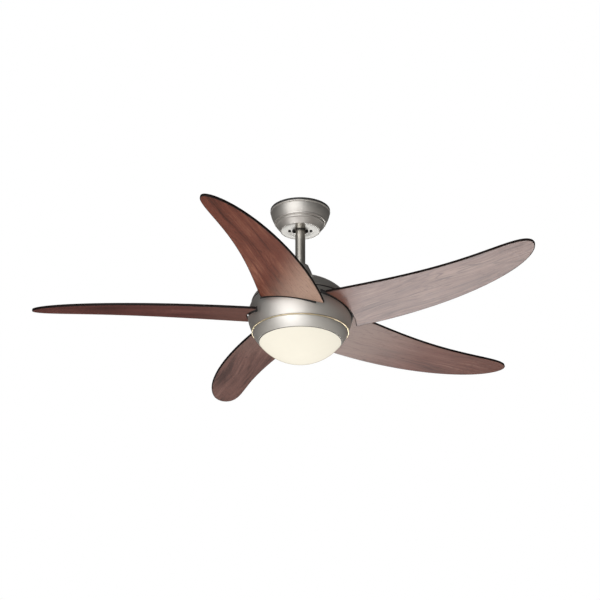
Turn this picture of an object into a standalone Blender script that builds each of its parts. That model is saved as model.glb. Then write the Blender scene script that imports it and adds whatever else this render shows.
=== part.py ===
"""Five-blade ceiling fan with a downrod, a ball mount and a glass light.

Metres, +Z up. The origin is the middle of the ceiling face of the mounting
bracket, so the whole fan hangs below z = 0 on the Z axis.
"""
import bmesh
import bpy
from math import asin, atan2, cos, pi, radians, sin, sqrt, tan
from mathutils import Matrix, Vector

# ---------------------------------------------------------------- clearances
GAP = 0.0004                 # between pieces that touch or are screwed together
RUNNING_GAP = 0.0015         # between pieces that turn past each other
SCREW_GAP = 0.0004           # radial, screw shank in its hole

# ------------------------------------------------------------- ceiling mount
BRACKET_RADIUS = 0.062
BRACKET_PLATE = 0.0025
BRACKET_ARM_WIDTH = 0.030
BRACKET_ARM_THICK = 0.0025
BRACKET_SLOT_SPACING = 0.070
BRACKET_SLOT_RADIUS = 0.0025
WIRE_HOLE_RADIUS = 0.008
WIRE_HOLE_OFFSET = 0.048
SEAT_THICK = 0.003
SEAT_RIM = 0.0035            # seat plate beyond the cover screws
SEAT_RISE = 0.0095           # seat above the base plate
ARM_CLEARANCE = 0.004        # between the ball and the bracket's arms
KEY_WALL = 0.0007             # seat left between the ball key and a screw hole
CANOPY_HEIGHT = 0.0590
CANOPY_RADIUS = 0.0760
CANOPY_BASE_RADIUS = 0.0502
CANOPY_WALL = 0.0012
GASKET_HEIGHT = 0.0048
GASKET_WIDTH = 0.0040
LIP_WIDTH = 0.0012
LEDGE_WIDTH = 0.0045          # canopy's inner ledge, over the base plate's rim
LIP_DROP = 0.0004            # canopy lip below the face of the base plate
BASE_PLATE_THICK = 0.0012
BASE_HOLE_RADIUS = 0.0205
SCREW_BESIDE_BALL = 0.0010    # cover screw axis beyond the side of the ball
COVER_SCREW_RADIUS = 0.0022
COVER_SCREW_HEAD = 0.0040
COVER_SCREW_HEAD_HEIGHT = 0.0020
COVER_SCREW_LENGTH = 0.0140
ELECTRICS_GAP = 0.011         # between the ball and the receiver
RECEIVER_SIZE = (0.020, 0.050, 0.024)
TERMINAL_SIZE = (0.014, 0.030, 0.014)

# ------------------------------------------------------- hanger ball and rod
BALL_RADIUS = 0.026
BALL_ABOVE_BASE = 0.0275     # ball centre above the canopy's lower edge
BALL_KEY_WIDTH = 0.0040
BALL_KEY_DEPTH = 0.0012
BALL_SLOT_FLOOR = 0.0015     # ball left between its key slot and the rod
ROD_RADIUS = 0.0127
ROD_WALL = 0.0020
ROD_LENGTH = 0.1685
ROD_PIN_RADIUS = 0.0030
ROD_PIN_RISE = 0.012         # cross pin above the ball centre
ROD_TOP_RISE = 0.0195        # rod end above the ball centre
BALL_SLOT_TOP = 0.004         # key slot starts this far below the ball centre

# ------------------------------------------------------- coupling, its cover
COUPLING_RADIUS = 0.0180
COUPLING_GRIP = 0.0180       # length of rod held in the coupling
COUPLING_FLOOR = 0.0035
CLEVIS_PIN_RADIUS = 0.0025
CLEVIS_PIN_HEAD = 0.0016
CLEVIS_PIN_TAIL = 0.0030      # pin beyond the coupling
CLIP_RADIUS = 0.0005
CLIP_LENGTH = 0.011
FLANGE_INSET = 0.002         # flange edge inside the neck of the housing
FLANGE_THICK = 0.0045
COVER_TOP_RADIUS = 0.0210
COVER_BASE_RADIUS = 0.0322
COVER_WALL = 0.0012
COVER_HEIGHT = 0.0380

# ------------------------------------------------------------------- housing
DOME_NECK_RADIUS = 0.030
DOME_HEIGHT = 0.0610
DOME_DEPTH_BELOW_ROD = 0.0155
HOUSING_WALL = 0.0015
SEAM_RADIUS = 0.1222
SEAM_GAP = 0.0030
SHELL_RADIUS = 0.1309
SHELL_HEIGHT = 0.0762
SHELL_FOOT_RADIUS = 0.1199
BLADE_LEVEL = 0.0362         # blade plane below the turning shell's top edge
WEB_LEVEL = 0.0160           # shell web below the blade plane
WEB_THICK = 0.0020
WEB_HOLE_RADIUS = 0.030
SLOT_LOW = -0.0655            # blade slot's ends, across the blade
SLOT_HIGH = 0.0800
SLOT_INNER = 0.085            # nearest the slot's cut comes to the axis
SLOT_UNDER = 0.0016           # slot open below the blade
SLOT_OVER = 0.0022            # slot open above the iron

# --------------------------------------------------------------------- motor
SHAFT_RADIUS = 0.0085
SHAFT_BORE = 0.0055
SHAFT_COLLAR_RADIUS = 0.0125
SHAFT_COLLAR_THICK = 0.0030
MOTOR_RADIUS = 0.085
MOTOR_HEIGHT = 0.0655
MOTOR_WALL = 0.0025
MOTOR_CHAMFER = 0.0090
BEARING_RADIUS = 0.0150
BEARING_WIDTH = 0.0080
BEARING_SEAT_WALL = 0.0050
AIR_GAP = 0.0006
ROTOR_RING_WIDTH = 0.0080
CORE_HEIGHT = 0.0250
CORE_SLOTS = 18
CORE_YOKE_RADIUS = 0.0460
WINDING_RADIUS = 0.0585
WINDING_WIDTH = 0.0085
WINDING_HEIGHT = 0.0060

# -------------------------------------------------------------------- blades
BLADE_COUNT = 5
FIRST_BLADE_ANGLE = radians(-37.7)
BLADE_TIP_RADIUS = 0.670
BLADE_THICK = 0.006
BLADE_PITCH = radians(-11.5)
BLADE_RISE = radians(2.0)
BLADE_ROOT_GAP = 0.0016
BLADE_ROOT_ARC = 0.170       # radius of the cut that faces the housing
BLADE_CURVE_START = 0.100
BLADE_CENTRE = (0.0175, 0.0525, 0.0740, 0.0160)
BLADE_HALF_WIDTH = (0.0830, 0.0810, 0.0500, 0.0620)
BLADE_TIP_POWER = 5.1        # higher is squarer

# -------------------------------------------------------------- blade irons
IRON_THICK = 0.0030
IRON_INNER_RADIUS = 0.054
IRON_FOOT_LENGTH = 0.030
IRON_FOOT_WIDTH = 0.044
IRON_NECK_WIDTH = 0.050
IRON_PAD_WIDTH = 0.078
IRON_REACH = 0.075           # iron over the blade, past the housing
IRON_MIDDLE = 0.024          # sideways place of the neck under the blade
IRON_PAD_GAP = 0.006         # pad starts this far past the blade's root
IRON_PAD_FLARE = 0.022       # length over which the pad widens
IRON_CORNER = (0.012, 0.013) # pad's cut corners, along and across
BLADE_SCREW_RADIUS = 0.0022
BLADE_SCREW_HEAD = 0.0045
BLADE_SCREW_LENGTH = 0.0040
BLADE_SCREW_INSET = 0.020    # from the iron's outer end
BLADE_SCREW_SPACING = 0.044
BLADE_SCREW_RISE = 0.0024
PILLAR_RADIUS = 0.0050

# ----------------------------------------------------------------- light kit
LIGHT_GAP = 0.0013
TRIM_RADIUS = 0.1212
TRIM_HEIGHT = 0.0016
TRIM_EDGE = 0.0004
TRIM_OVERLAP = 0.0010         # trim ring over the pan's flange
FITTER_TOP_RADIUS = 0.1188
FITTER_RIM_RADIUS = 0.1040
FITTER_HEIGHT = 0.0245
FITTER_WALL = 0.0014
COLLAR_WALL = 0.0032
COLLAR_HEIGHT = 0.0125
PAN_RADIUS = 0.1080
PAN_RISE = 0.0167
PAN_WALL = 0.0012
PAN_FLANGE = 0.0085
NUT_ACROSS_FLATS = 0.026
NUT_HEIGHT = 0.0065
THREAD_LEFT = 0.0020          # shaft beyond the nut
HOLDER_RADIUS = 0.0170
HOLDER_LENGTH = 0.0300
HOLDER_BORE = 0.0140
HOLDER_OFFSET = 0.0140       # inner end from the axis
BULB_LEVEL = 0.0265          # bulb axis below the pan's top
BULB_RADIUS = 0.0210
BULB_LENGTH = 0.0690
BULB_BASE_RADIUS = 0.0130
BULB_BASE_LENGTH = 0.0250
CAPACITOR_SIZE = (0.040, 0.022, 0.016)
CAPACITOR_OFFSET = 0.048

# --------------------------------------------------------------------- shade
SHADE_RADIUS = 0.1027
SHADE_DEPTH = 0.0510
SHADE_WALL = 0.0030
NECK_RADIUS = 0.0980
NECK_HEIGHT = 0.0112
LUG_COUNT = 3
LUG_HEIGHT = 0.0030
LUG_DEPTH = 0.0017
LUG_HALF_ANGLE = radians(5.0)
LUG_BELOW_TOP = 0.0025
TWIST_ANGLE = radians(30.0)
LUG_PLAY = radians(2.0)
LUG_CLEAR = 0.0006

# ------------------------------------------------------- facets on a turning
LARGE = 36
MEDIUM = 20
SMALL = 12
TINY = 8

# ------------------------------------------------------ heights worked out
BASE_Z = -CANOPY_HEIGHT
BALL_Z = BASE_Z + BALL_ABOVE_BASE
COVER_SCREW_OFFSET = BALL_RADIUS + SCREW_BESIDE_BALL
ROD_TOP_Z = BALL_Z + ROD_TOP_RISE
ROD_FOOT_Z = ROD_TOP_Z - ROD_LENGTH
COUPLING_TOP_Z = ROD_FOOT_Z + COUPLING_GRIP
DOME_TOP_Z = ROD_FOOT_Z - DOME_DEPTH_BELOW_ROD
DOME_FOOT_Z = DOME_TOP_Z - DOME_HEIGHT
SHELL_TOP_Z = DOME_FOOT_Z - SEAM_GAP
SHELL_FOOT_Z = SHELL_TOP_Z - SHELL_HEIGHT
BLADE_Z = SHELL_TOP_Z - BLADE_LEVEL
WEB_TOP_Z = BLADE_Z - WEB_LEVEL
TRIM_TOP_Z = SHELL_FOOT_Z - LIGHT_GAP
FITTER_TOP_Z = TRIM_TOP_Z - TRIM_HEIGHT - GAP
FITTER_FOOT_Z = FITTER_TOP_Z - FITTER_HEIGHT
PAN_TOP_Z = FITTER_TOP_Z + PAN_RISE
BULB_Z = PAN_TOP_Z - BULB_LEVEL
SHADE_TOP_Z = FITTER_FOOT_Z - GAP
COVER_FOOT_Z = DOME_TOP_Z + 2 * GAP
FLANGE_TOP_Z = DOME_TOP_Z - HOUSING_WALL - 2 * GAP

# the blade's own plane: along the blade, across it, and square to it
BLADE_MATRIX = Matrix.Translation((0, 0, BLADE_Z)) @ (
    Matrix.Rotation(-BLADE_RISE, 4, 'Y') @ Matrix.Rotation(BLADE_PITCH, 4, 'X')
)
ROOT_NEAREST = SHELL_RADIUS + BLADE_ROOT_GAP
IRON_FACE = BLADE_THICK / 2 + GAP          # underside of the iron's pad
MOTOR_FOOT_Z = BLADE_Z + tan(BLADE_RISE) * IRON_INNER_RADIUS + IRON_FACE + IRON_THICK
MOTOR_TOP_Z = MOTOR_FOOT_Z + MOTOR_HEIGHT
MOTOR_MIDDLE_Z = (MOTOR_TOP_Z + MOTOR_FOOT_Z) / 2


# ------------------------------------------------------------------- helpers
def clear_scene():
    for item in list(bpy.data.objects):
        bpy.data.objects.remove(item, do_unlink=True)


def make_material(name, colour, roughness, metallic):
    material = bpy.data.materials.new(name)
    material.use_nodes = True
    shader = material.node_tree.nodes["Principled BSDF"]
    shader.inputs["Base Color"].default_value = (*colour, 1.0)
    shader.inputs["Roughness"].default_value = roughness
    shader.inputs["Metallic"].default_value = metallic
    return material


def finish(name, bm, look, smooth=True):
    """Turn a bmesh into a named object with its own copy of a finish."""
    bmesh.ops.remove_doubles(bm, verts=bm.verts, dist=1e-6)
    bmesh.ops.recalc_face_normals(bm, faces=bm.faces)
    mesh = bpy.data.meshes.new(name)
    bm.to_mesh(mesh)
    bm.free()
    if smooth:
        mesh.shade_smooth()
        mesh.set_sharp_from_angle(angle=radians(35))
    item = bpy.data.objects.new(name, mesh)
    bpy.context.collection.objects.link(item)
    mesh.materials.append(make_material(name, *look))
    return item


def turned(section, steps, closed=True):
    """Turn a section of (radius, height) points about Z.

    An open section starts and ends on the axis.
    """
    bm = bmesh.new()
    verts = [bm.verts.new((radius, 0, height)) for radius, height in section]
    edges = [
        bm.edges.new(pair) for pair in zip(verts, verts[1:])
        if max(pair[0].co.x, pair[1].co.x) > 0
    ]
    if closed:
        edges.append(bm.edges.new((verts[-1], verts[0])))
    bmesh.ops.spin(
        bm, geom=verts + edges, cent=(0, 0, 0), axis=(0, 0, 1), angle=2 * pi,
        steps=steps, use_merge=True,
    )
    bmesh.ops.remove_doubles(bm, verts=bm.verts, dist=1e-6)
    bmesh.ops.recalc_face_normals(bm, faces=bm.faces)
    return bm


def add_block(bm, low, high):
    middle = [(a + b) / 2 for a, b in zip(low, high)]
    size = [b - a for a, b in zip(low, high)]
    place = Matrix.Translation(middle) @ Matrix.Diagonal((*size, 1))
    bmesh.ops.create_cube(bm, size=1, matrix=place)


def add_rod(bm, radius, start, end, steps):
    """A round bar from start to end."""
    start = Vector(start)
    run = Vector(end) - start
    turn = run.to_track_quat('Z', 'Y').to_matrix().to_4x4()
    place = Matrix.Translation(start + run / 2) @ turn
    bmesh.ops.create_cone(
        bm, cap_ends=True, segments=steps, radius1=radius, radius2=radius,
        depth=run.length, matrix=place,
    )


def combine(item, bm, operation):
    """Join or cut an object with the bodies of a bmesh."""
    bmesh.ops.recalc_face_normals(bm, faces=bm.faces)
    mesh = bpy.data.meshes.new("tool")
    bm.to_mesh(mesh)
    bm.free()
    tool = bpy.data.objects.new("tool", mesh)
    bpy.context.collection.objects.link(tool)
    modifier = item.modifiers.new("tool", 'BOOLEAN')
    modifier.operation = operation
    modifier.solver = 'EXACT'
    modifier.object = tool
    bpy.context.view_layer.update()
    seen = item.evaluated_get(bpy.context.evaluated_depsgraph_get())
    result = bpy.data.meshes.new_from_object(seen)
    item.modifiers.clear()
    old = item.data
    item.data = result
    bpy.data.meshes.remove(old)
    result.name = item.name
    bpy.data.objects.remove(tool, do_unlink=True)
    bpy.data.meshes.remove(mesh)


def cubic(points, t):
    """A cubic Bezier value or point at t."""
    a, b, c, d = points
    s = 1 - t
    weights = (s * s * s, 3 * s * s * t, 3 * s * t * t, t * t * t)
    if isinstance(a, tuple):
        return tuple(
            sum(w * p[i] for w, p in zip(weights, points)) for i in range(len(a))
        )
    return sum(w * p for w, p in zip(weights, points))


def curve(points, steps):
    return [cubic(points, i / steps) for i in range(steps + 1)]


def inside(outline, wall):
    """The same curve moved inwards by the wall, square to the curve."""
    moved = []
    for i, (radius, height) in enumerate(outline):
        before = outline[max(i - 1, 0)]
        after = outline[min(i + 1, len(outline) - 1)]
        run = Vector((after[0] - before[0], after[1] - before[1])).normalized()
        moved.append((radius + run.y * wall, height - run.x * wall))
    return moved


def around(angle):
    return Matrix.Rotation(angle, 4, 'Z')


def blade_angles():
    return [FIRST_BLADE_ANGLE + i * 2 * pi / BLADE_COUNT for i in range(BLADE_COUNT)]


# ------------------------------------------------------------------ finishes
NICKEL = ((0.42, 0.40, 0.37), 0.30, 1.0)
STEEL = ((0.55, 0.55, 0.56), 0.35, 1.0)
DARK_STEEL = ((0.20, 0.20, 0.21), 0.45, 1.0)
CAST = ((0.35, 0.35, 0.36), 0.55, 1.0)
BLACK_PLASTIC = ((0.03, 0.03, 0.03), 0.5, 0.0)
GREY_PLASTIC = ((0.25, 0.25, 0.26), 0.5, 0.0)
WHITE_PLASTIC = ((0.85, 0.84, 0.80), 0.4, 0.0)
COPPER = ((0.60, 0.25, 0.12), 0.35, 1.0)
GOLD = ((0.80, 0.66, 0.42), 0.25, 1.0)
WALNUT = ((0.21, 0.10, 0.065), 0.45, 0.0)
OPAL = ((0.93, 0.88, 0.76), 0.25, 0.0)


# ------------------------------------------------------------- ceiling mount
def make_bracket():
    """Ceiling plate, two arms and the seat that the hanger ball rests in."""
    seat_radius = COVER_SCREW_OFFSET + COVER_SCREW_RADIUS + SEAT_RIM
    seat_foot = BASE_Z + LIP_DROP + BASE_PLATE_THICK + SEAT_RISE
    arm_face = BALL_RADIUS + ARM_CLEARANCE
    bm = bmesh.new()
    add_rod(bm, BRACKET_RADIUS, (0, 0, -BRACKET_PLATE), (0, 0, 0), LARGE)
    bracket = finish("ceiling_bracket", bm, STEEL)
    arms = bmesh.new()
    for side in (-1, 1):
        edges = sorted((side * arm_face, side * (arm_face + BRACKET_ARM_THICK)))
        add_block(
            arms,
            (-BRACKET_ARM_WIDTH / 2, edges[0], seat_foot + SEAT_THICK / 2),
            (BRACKET_ARM_WIDTH / 2, edges[1], -BRACKET_PLATE / 2),
        )
    combine(bracket, arms, 'UNION')
    seat = bmesh.new()
    add_rod(seat, max(seat_radius, arm_face + BRACKET_ARM_THICK + GAP),
            (0, 0, seat_foot), (0, 0, seat_foot + SEAT_THICK), MEDIUM)
    combine(bracket, seat, 'UNION')
    socket = bmesh.new()
    bmesh.ops.create_uvsphere(
        socket, u_segments=MEDIUM, v_segments=SMALL, radius=BALL_RADIUS + GAP,
        matrix=Matrix.Translation((0, 0, BALL_Z)),
    )
    combine(bracket, socket, 'DIFFERENCE')
    holes = bmesh.new()
    for side in (-1, 1):
        x = side * COVER_SCREW_OFFSET
        add_rod(holes, COVER_SCREW_RADIUS + SCREW_GAP, (x, 0, seat_foot - 0.01),
                (x, 0, seat_foot + SEAT_THICK + 0.01), TINY)
        x = side * BRACKET_SLOT_SPACING / 2
        add_rod(holes, BRACKET_SLOT_RADIUS, (x, 0, -0.02), (x, 0, 0.01), TINY)
    y = WIRE_HOLE_OFFSET
    add_rod(holes, WIRE_HOLE_RADIUS, (0, y, -0.02), (0, y, 0.01), SMALL)
    combine(bracket, holes, 'DIFFERENCE')
    key = bmesh.new()
    seat_hole = sqrt((BALL_RADIUS + GAP) ** 2 - (BALL_Z - seat_foot) ** 2)
    key_end = COVER_SCREW_OFFSET - COVER_SCREW_RADIUS - SCREW_GAP - KEY_WALL
    add_block(
        key,
        (seat_hole - BALL_KEY_DEPTH, -BALL_KEY_WIDTH / 2, seat_foot + SEAT_THICK * 0.1),
        (key_end, BALL_KEY_WIDTH / 2, seat_foot + SEAT_THICK * 0.9),
    )
    combine(bracket, key, 'UNION')


def make_canopy():
    """Bowl that hides the bracket, with a rolled lip round its base plate."""
    outer = curve((
        (CANOPY_RADIUS, -GASKET_HEIGHT - GAP),
        (CANOPY_RADIUS * 0.960, BASE_Z * 0.544),
        (CANOPY_BASE_RADIUS * 1.138, BASE_Z * 0.778),
        (CANOPY_BASE_RADIUS, BASE_Z),
    ), 7)
    inner = inside(outer, CANOPY_WALL)
    lip_inside = CANOPY_BASE_RADIUS - LIP_WIDTH
    ledge = BASE_Z + LIP_DROP + BASE_PLATE_THICK + GAP
    wall = [point for point in inner if point[1] > ledge + 2 * CANOPY_WALL]
    section = outer + [
        (lip_inside, BASE_Z),
        (lip_inside, ledge),
        (lip_inside - LEDGE_WIDTH, ledge),
        (lip_inside - LEDGE_WIDTH, ledge + CANOPY_WALL),
        (lip_inside + LIP_WIDTH * 0.8, ledge + CANOPY_WALL),
    ] + wall[::-1]
    finish("canopy", turned(section, LARGE), NICKEL)
    gasket = [
        (CANOPY_RADIUS, 0), (CANOPY_RADIUS, -GASKET_HEIGHT),
        (CANOPY_RADIUS - GASKET_WIDTH, -GASKET_HEIGHT),
        (CANOPY_RADIUS - GASKET_WIDTH, 0),
    ]
    finish("canopy_gasket", turned(gasket, LARGE), BLACK_PLASTIC)


def make_base_plate():
    face = BASE_Z + LIP_DROP
    edge = CANOPY_BASE_RADIUS - LIP_WIDTH - GAP
    section = [
        (edge, face + BASE_PLATE_THICK), (edge, face),
        (BASE_HOLE_RADIUS, face), (BASE_HOLE_RADIUS, face + BASE_PLATE_THICK),
    ]
    plate = finish("canopy_base_plate", turned(section, LARGE), NICKEL)
    holes = bmesh.new()
    for side in (-1, 1):
        x = side * COVER_SCREW_OFFSET
        add_rod(holes, COVER_SCREW_RADIUS + SCREW_GAP, (x, 0, face - 0.01),
                (x, 0, face + 0.01), TINY)
    combine(plate, holes, 'DIFFERENCE')
    for number, side in ((1, -1), (2, 1)):
        seat = face - GAP
        screw = turned([
            (0, seat + COVER_SCREW_LENGTH), (COVER_SCREW_RADIUS, seat + COVER_SCREW_LENGTH),
            (COVER_SCREW_RADIUS, seat), (COVER_SCREW_HEAD, seat),
            (COVER_SCREW_HEAD * 0.8, seat - COVER_SCREW_HEAD_HEIGHT * 0.9),
            (0, seat - COVER_SCREW_HEAD_HEIGHT),
        ], TINY, closed=False)
        bmesh.ops.translate(screw, verts=screw.verts, vec=(side * COVER_SCREW_OFFSET, 0, 0))
        finish("canopy_screw_%d" % number, screw, DARK_STEEL)


def make_electrics():
    """Remote receiver and terminal block under the bracket's plate."""
    top = -BRACKET_PLATE - GAP
    inner = BALL_RADIUS + ELECTRICS_GAP
    length, width, height = RECEIVER_SIZE
    bm = bmesh.new()
    add_block(bm, (-inner - length, -width / 2, top - height), (-inner, width / 2, top))
    bmesh.ops.bevel(bm, geom=bm.edges, offset=0.0015, segments=2, affect='EDGES', profile=0.5)
    finish("receiver", bm, BLACK_PLASTIC)
    length, width, height = TERMINAL_SIZE
    bm = bmesh.new()
    add_block(bm, (inner, -width / 2, top - height), (inner + length, width / 2, top))
    bmesh.ops.bevel(bm, geom=bm.edges, offset=0.0008, segments=1, affect='EDGES', profile=0.5)
    finish("terminal_block", bm, WHITE_PLASTIC)


# ------------------------------------------------------- hanger ball and rod
def make_ball():
    bm = bmesh.new()
    bmesh.ops.create_uvsphere(
        bm, u_segments=MEDIUM, v_segments=SMALL, radius=BALL_RADIUS,
        matrix=Matrix.Translation((0, 0, BALL_Z)),
    )
    ball = finish("hanger_ball", bm, GREY_PLASTIC)
    reach = BALL_RADIUS * 1.5
    cuts = bmesh.new()
    add_rod(cuts, ROD_RADIUS + GAP, (0, 0, BALL_Z - reach), (0, 0, BALL_Z + reach), MEDIUM)
    combine(ball, cuts, 'DIFFERENCE')
    pin_z = BALL_Z + ROD_PIN_RISE
    cuts = bmesh.new()
    add_rod(cuts, ROD_PIN_RADIUS + GAP, (0, -reach, pin_z), (0, reach, pin_z), TINY)
    slot = BALL_KEY_WIDTH / 2 + GAP
    add_block(
        cuts,
        (ROD_RADIUS + GAP + BALL_SLOT_FLOOR, -slot, BALL_Z - reach),
        (reach, slot, BALL_Z - BALL_SLOT_TOP),
    )
    combine(ball, cuts, 'DIFFERENCE')
    half = sqrt(BALL_RADIUS ** 2 - (ROD_PIN_RISE + ROD_PIN_RADIUS) ** 2) - 2 * GAP
    pin = bmesh.new()
    add_rod(pin, ROD_PIN_RADIUS, (0, -half, pin_z), (0, half, pin_z), TINY)
    finish("ball_pin", pin, STEEL)


def make_rod():
    section = [
        (ROD_RADIUS, ROD_TOP_Z), (ROD_RADIUS, ROD_FOOT_Z),
        (ROD_RADIUS - ROD_WALL, ROD_FOOT_Z), (ROD_RADIUS - ROD_WALL, ROD_TOP_Z),
    ]
    rod = finish("downrod", turned(section, MEDIUM), NICKEL)
    pin_z = BALL_Z + ROD_PIN_RISE
    clevis_z = ROD_FOOT_Z + COUPLING_GRIP / 2
    holes = bmesh.new()
    reach = 2 * ROD_RADIUS
    add_rod(holes, ROD_PIN_RADIUS + GAP, (0, -reach, pin_z), (0, reach, pin_z), TINY)
    add_rod(holes, CLEVIS_PIN_RADIUS + GAP, (-reach, 0, clevis_z), (reach, 0, clevis_z), TINY)
    combine(rod, holes, 'DIFFERENCE')


def make_coupling():
    """Casting that pins the rod above and holds the motor shaft below."""
    floor = ROD_FOOT_Z - GAP
    foot = FLANGE_TOP_Z - FLANGE_THICK
    flange = DOME_NECK_RADIUS - FLANGE_INSET
    section = [
        (COUPLING_RADIUS, COUPLING_TOP_Z), (COUPLING_RADIUS, FLANGE_TOP_Z),
        (flange, FLANGE_TOP_Z), (flange, foot),
        (SHAFT_RADIUS + GAP, foot), (SHAFT_RADIUS + GAP, floor - COUPLING_FLOOR),
        (SHAFT_BORE, floor - COUPLING_FLOOR), (SHAFT_BORE, floor),
        (ROD_RADIUS + GAP, floor), (ROD_RADIUS + GAP, COUPLING_TOP_Z),
    ]
    coupling = finish("rod_coupling", turned(section, MEDIUM), CAST)
    clevis_z = ROD_FOOT_Z + COUPLING_GRIP / 2
    reach = 2 * COUPLING_RADIUS
    hole = bmesh.new()
    add_rod(hole, CLEVIS_PIN_RADIUS + GAP, (-reach, 0, clevis_z), (reach, 0, clevis_z), TINY)
    combine(coupling, hole, 'DIFFERENCE')
    head_start = COUPLING_RADIUS + GAP
    tail = COUPLING_RADIUS + CLEVIS_PIN_TAIL
    pin = turned([
        (0, head_start + CLEVIS_PIN_HEAD),
        (CLEVIS_PIN_RADIUS * 1.6, head_start + CLEVIS_PIN_HEAD * 0.75),
        (CLEVIS_PIN_RADIUS * 1.6, head_start), (CLEVIS_PIN_RADIUS, head_start),
        (CLEVIS_PIN_RADIUS, -tail), (0, -tail),
    ], TINY, closed=False)
    turn = Matrix.Translation((0, 0, clevis_z)) @ Matrix.Rotation(pi / 2, 4, 'Y')
    bmesh.ops.transform(pin, verts=pin.verts, matrix=turn)
    item = finish("clevis_pin", pin, STEEL)
    clip_x = GAP - tail + (CLEVIS_PIN_TAIL - GAP) * 0.35
    foot, top = clevis_z - CLIP_LENGTH / 2, clevis_z + CLIP_LENGTH / 2
    hole = bmesh.new()
    add_rod(hole, CLIP_RADIUS + GAP, (clip_x, 0, foot), (clip_x, 0, top), TINY)
    combine(item, hole, 'DIFFERENCE')
    clip = bmesh.new()
    add_rod(clip, CLIP_RADIUS, (clip_x, 0, foot), (clip_x, 0, top), TINY)
    finish("clevis_clip", clip, STEEL)


def make_coupling_cover():
    top = COVER_FOOT_Z + COVER_HEIGHT
    outer = curve((
        (COVER_TOP_RADIUS, top),
        (COVER_TOP_RADIUS + 0.0035, top - COVER_HEIGHT * 0.30),
        (COVER_BASE_RADIUS - 0.0015, top - COVER_HEIGHT * 0.45),
        (COVER_BASE_RADIUS, COVER_FOOT_Z),
    ), 6)
    inner = inside(outer, COVER_WALL)
    crown = top - COVER_WALL
    bore = ROD_RADIUS + GAP
    wall = [point for point in inner if point[1] < crown - 0.0005]
    wall[-1] = (wall[-1][0], COVER_FOOT_Z)
    section = outer + wall[::-1] + [
        (COVER_TOP_RADIUS - COVER_WALL, crown), (bore, crown), (bore, top),
    ]
    finish("coupling_cover", turned(section, MEDIUM), NICKEL)


# ------------------------------------------------------------------- housing
def dome_outline():
    """Still upper housing, from its neck down to the seam."""
    spread = SEAM_RADIUS - DOME_NECK_RADIUS
    return curve((
        (DOME_NECK_RADIUS, DOME_TOP_Z),
        (DOME_NECK_RADIUS + 0.49 * spread, DOME_TOP_Z - 0.126 * DOME_HEIGHT),
        (DOME_NECK_RADIUS + 0.925 * spread, DOME_TOP_Z - 0.59 * DOME_HEIGHT),
        (SEAM_RADIUS, DOME_FOOT_Z),
    ), 8)


def make_dome():
    outer = [(COUPLING_RADIUS + GAP, DOME_TOP_Z)] + dome_outline()
    inner = inside(outer, HOUSING_WALL)
    inner[0] = (COUPLING_RADIUS + GAP, DOME_TOP_Z - HOUSING_WALL)
    inner[-1] = (SEAM_RADIUS - HOUSING_WALL, DOME_FOOT_Z)
    finish("upper_housing", turned(outer + inner[::-1], LARGE), NICKEL)


def shell_outline():
    """Turning shell: full at the blades, drawn in towards the light."""
    return curve((
        (SEAM_RADIUS, SHELL_TOP_Z),
        (SEAM_RADIUS + (SHELL_RADIUS - SEAM_RADIUS) * 1.39, SHELL_TOP_Z - SHELL_HEIGHT * 0.40),
        (SHELL_FOOT_RADIUS + (SHELL_RADIUS - SHELL_FOOT_RADIUS) * 1.25,
         SHELL_FOOT_Z + SHELL_HEIGHT * 0.447),
        (SHELL_FOOT_RADIUS, SHELL_FOOT_Z),
    ), 8)


def make_shell():
    """Turning shell with its web, the web's pillars and the blade slots."""
    outer = shell_outline()
    inner = inside(outer, HOUSING_WALL)
    inner[0] = (outer[0][0] - HOUSING_WALL, SHELL_TOP_Z)
    inner[-1] = (outer[-1][0] - HOUSING_WALL, SHELL_FOOT_Z)
    web_foot = WEB_TOP_Z - WEB_THICK
    below = [point for point in inner if point[1] < web_foot - 0.001]
    above = [point for point in inner if point[1] > WEB_TOP_Z + 0.001]
    step = (above[-1][1] - WEB_TOP_Z) / (above[-1][1] - below[0][1])
    join = above[-1][0] + step * (below[0][0] - above[-1][0])
    section = outer + below[::-1] + [
        (join, web_foot), (WEB_HOLE_RADIUS, web_foot),
        (WEB_HOLE_RADIUS, WEB_TOP_Z), (join, WEB_TOP_Z),
    ] + above[::-1]
    shell = finish("turning_shell", turned(section, LARGE), NICKEL)
    pillars = bmesh.new()
    middle = (IRON_INNER_RADIUS + MOTOR_RADIUS) / 2
    for angle in blade_angles():
        spot = around(angle + pi / BLADE_COUNT) @ Vector((middle, 0, 0))
        add_rod(pillars, PILLAR_RADIUS, (spot.x, spot.y, WEB_TOP_Z - WEB_THICK / 2),
                (spot.x, spot.y, MOTOR_FOOT_Z - GAP), TINY)
    combine(shell, pillars, 'UNION')
    slots = bmesh.new()
    for angle in blade_angles():
        block = bmesh.new()
        add_block(
            block,
            (SLOT_INNER, SLOT_LOW, -BLADE_THICK / 2 - SLOT_UNDER),
            (SHELL_RADIUS * 1.15, SLOT_HIGH, IRON_FACE + IRON_THICK + SLOT_OVER),
        )
        bmesh.ops.transform(block, verts=block.verts, matrix=around(angle) @ BLADE_MATRIX)
        piece = bpy.data.meshes.new("slot")
        block.to_mesh(piece)
        block.free()
        slots.from_mesh(piece)
        bpy.data.meshes.remove(piece)
    combine(shell, slots, 'DIFFERENCE')


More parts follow.
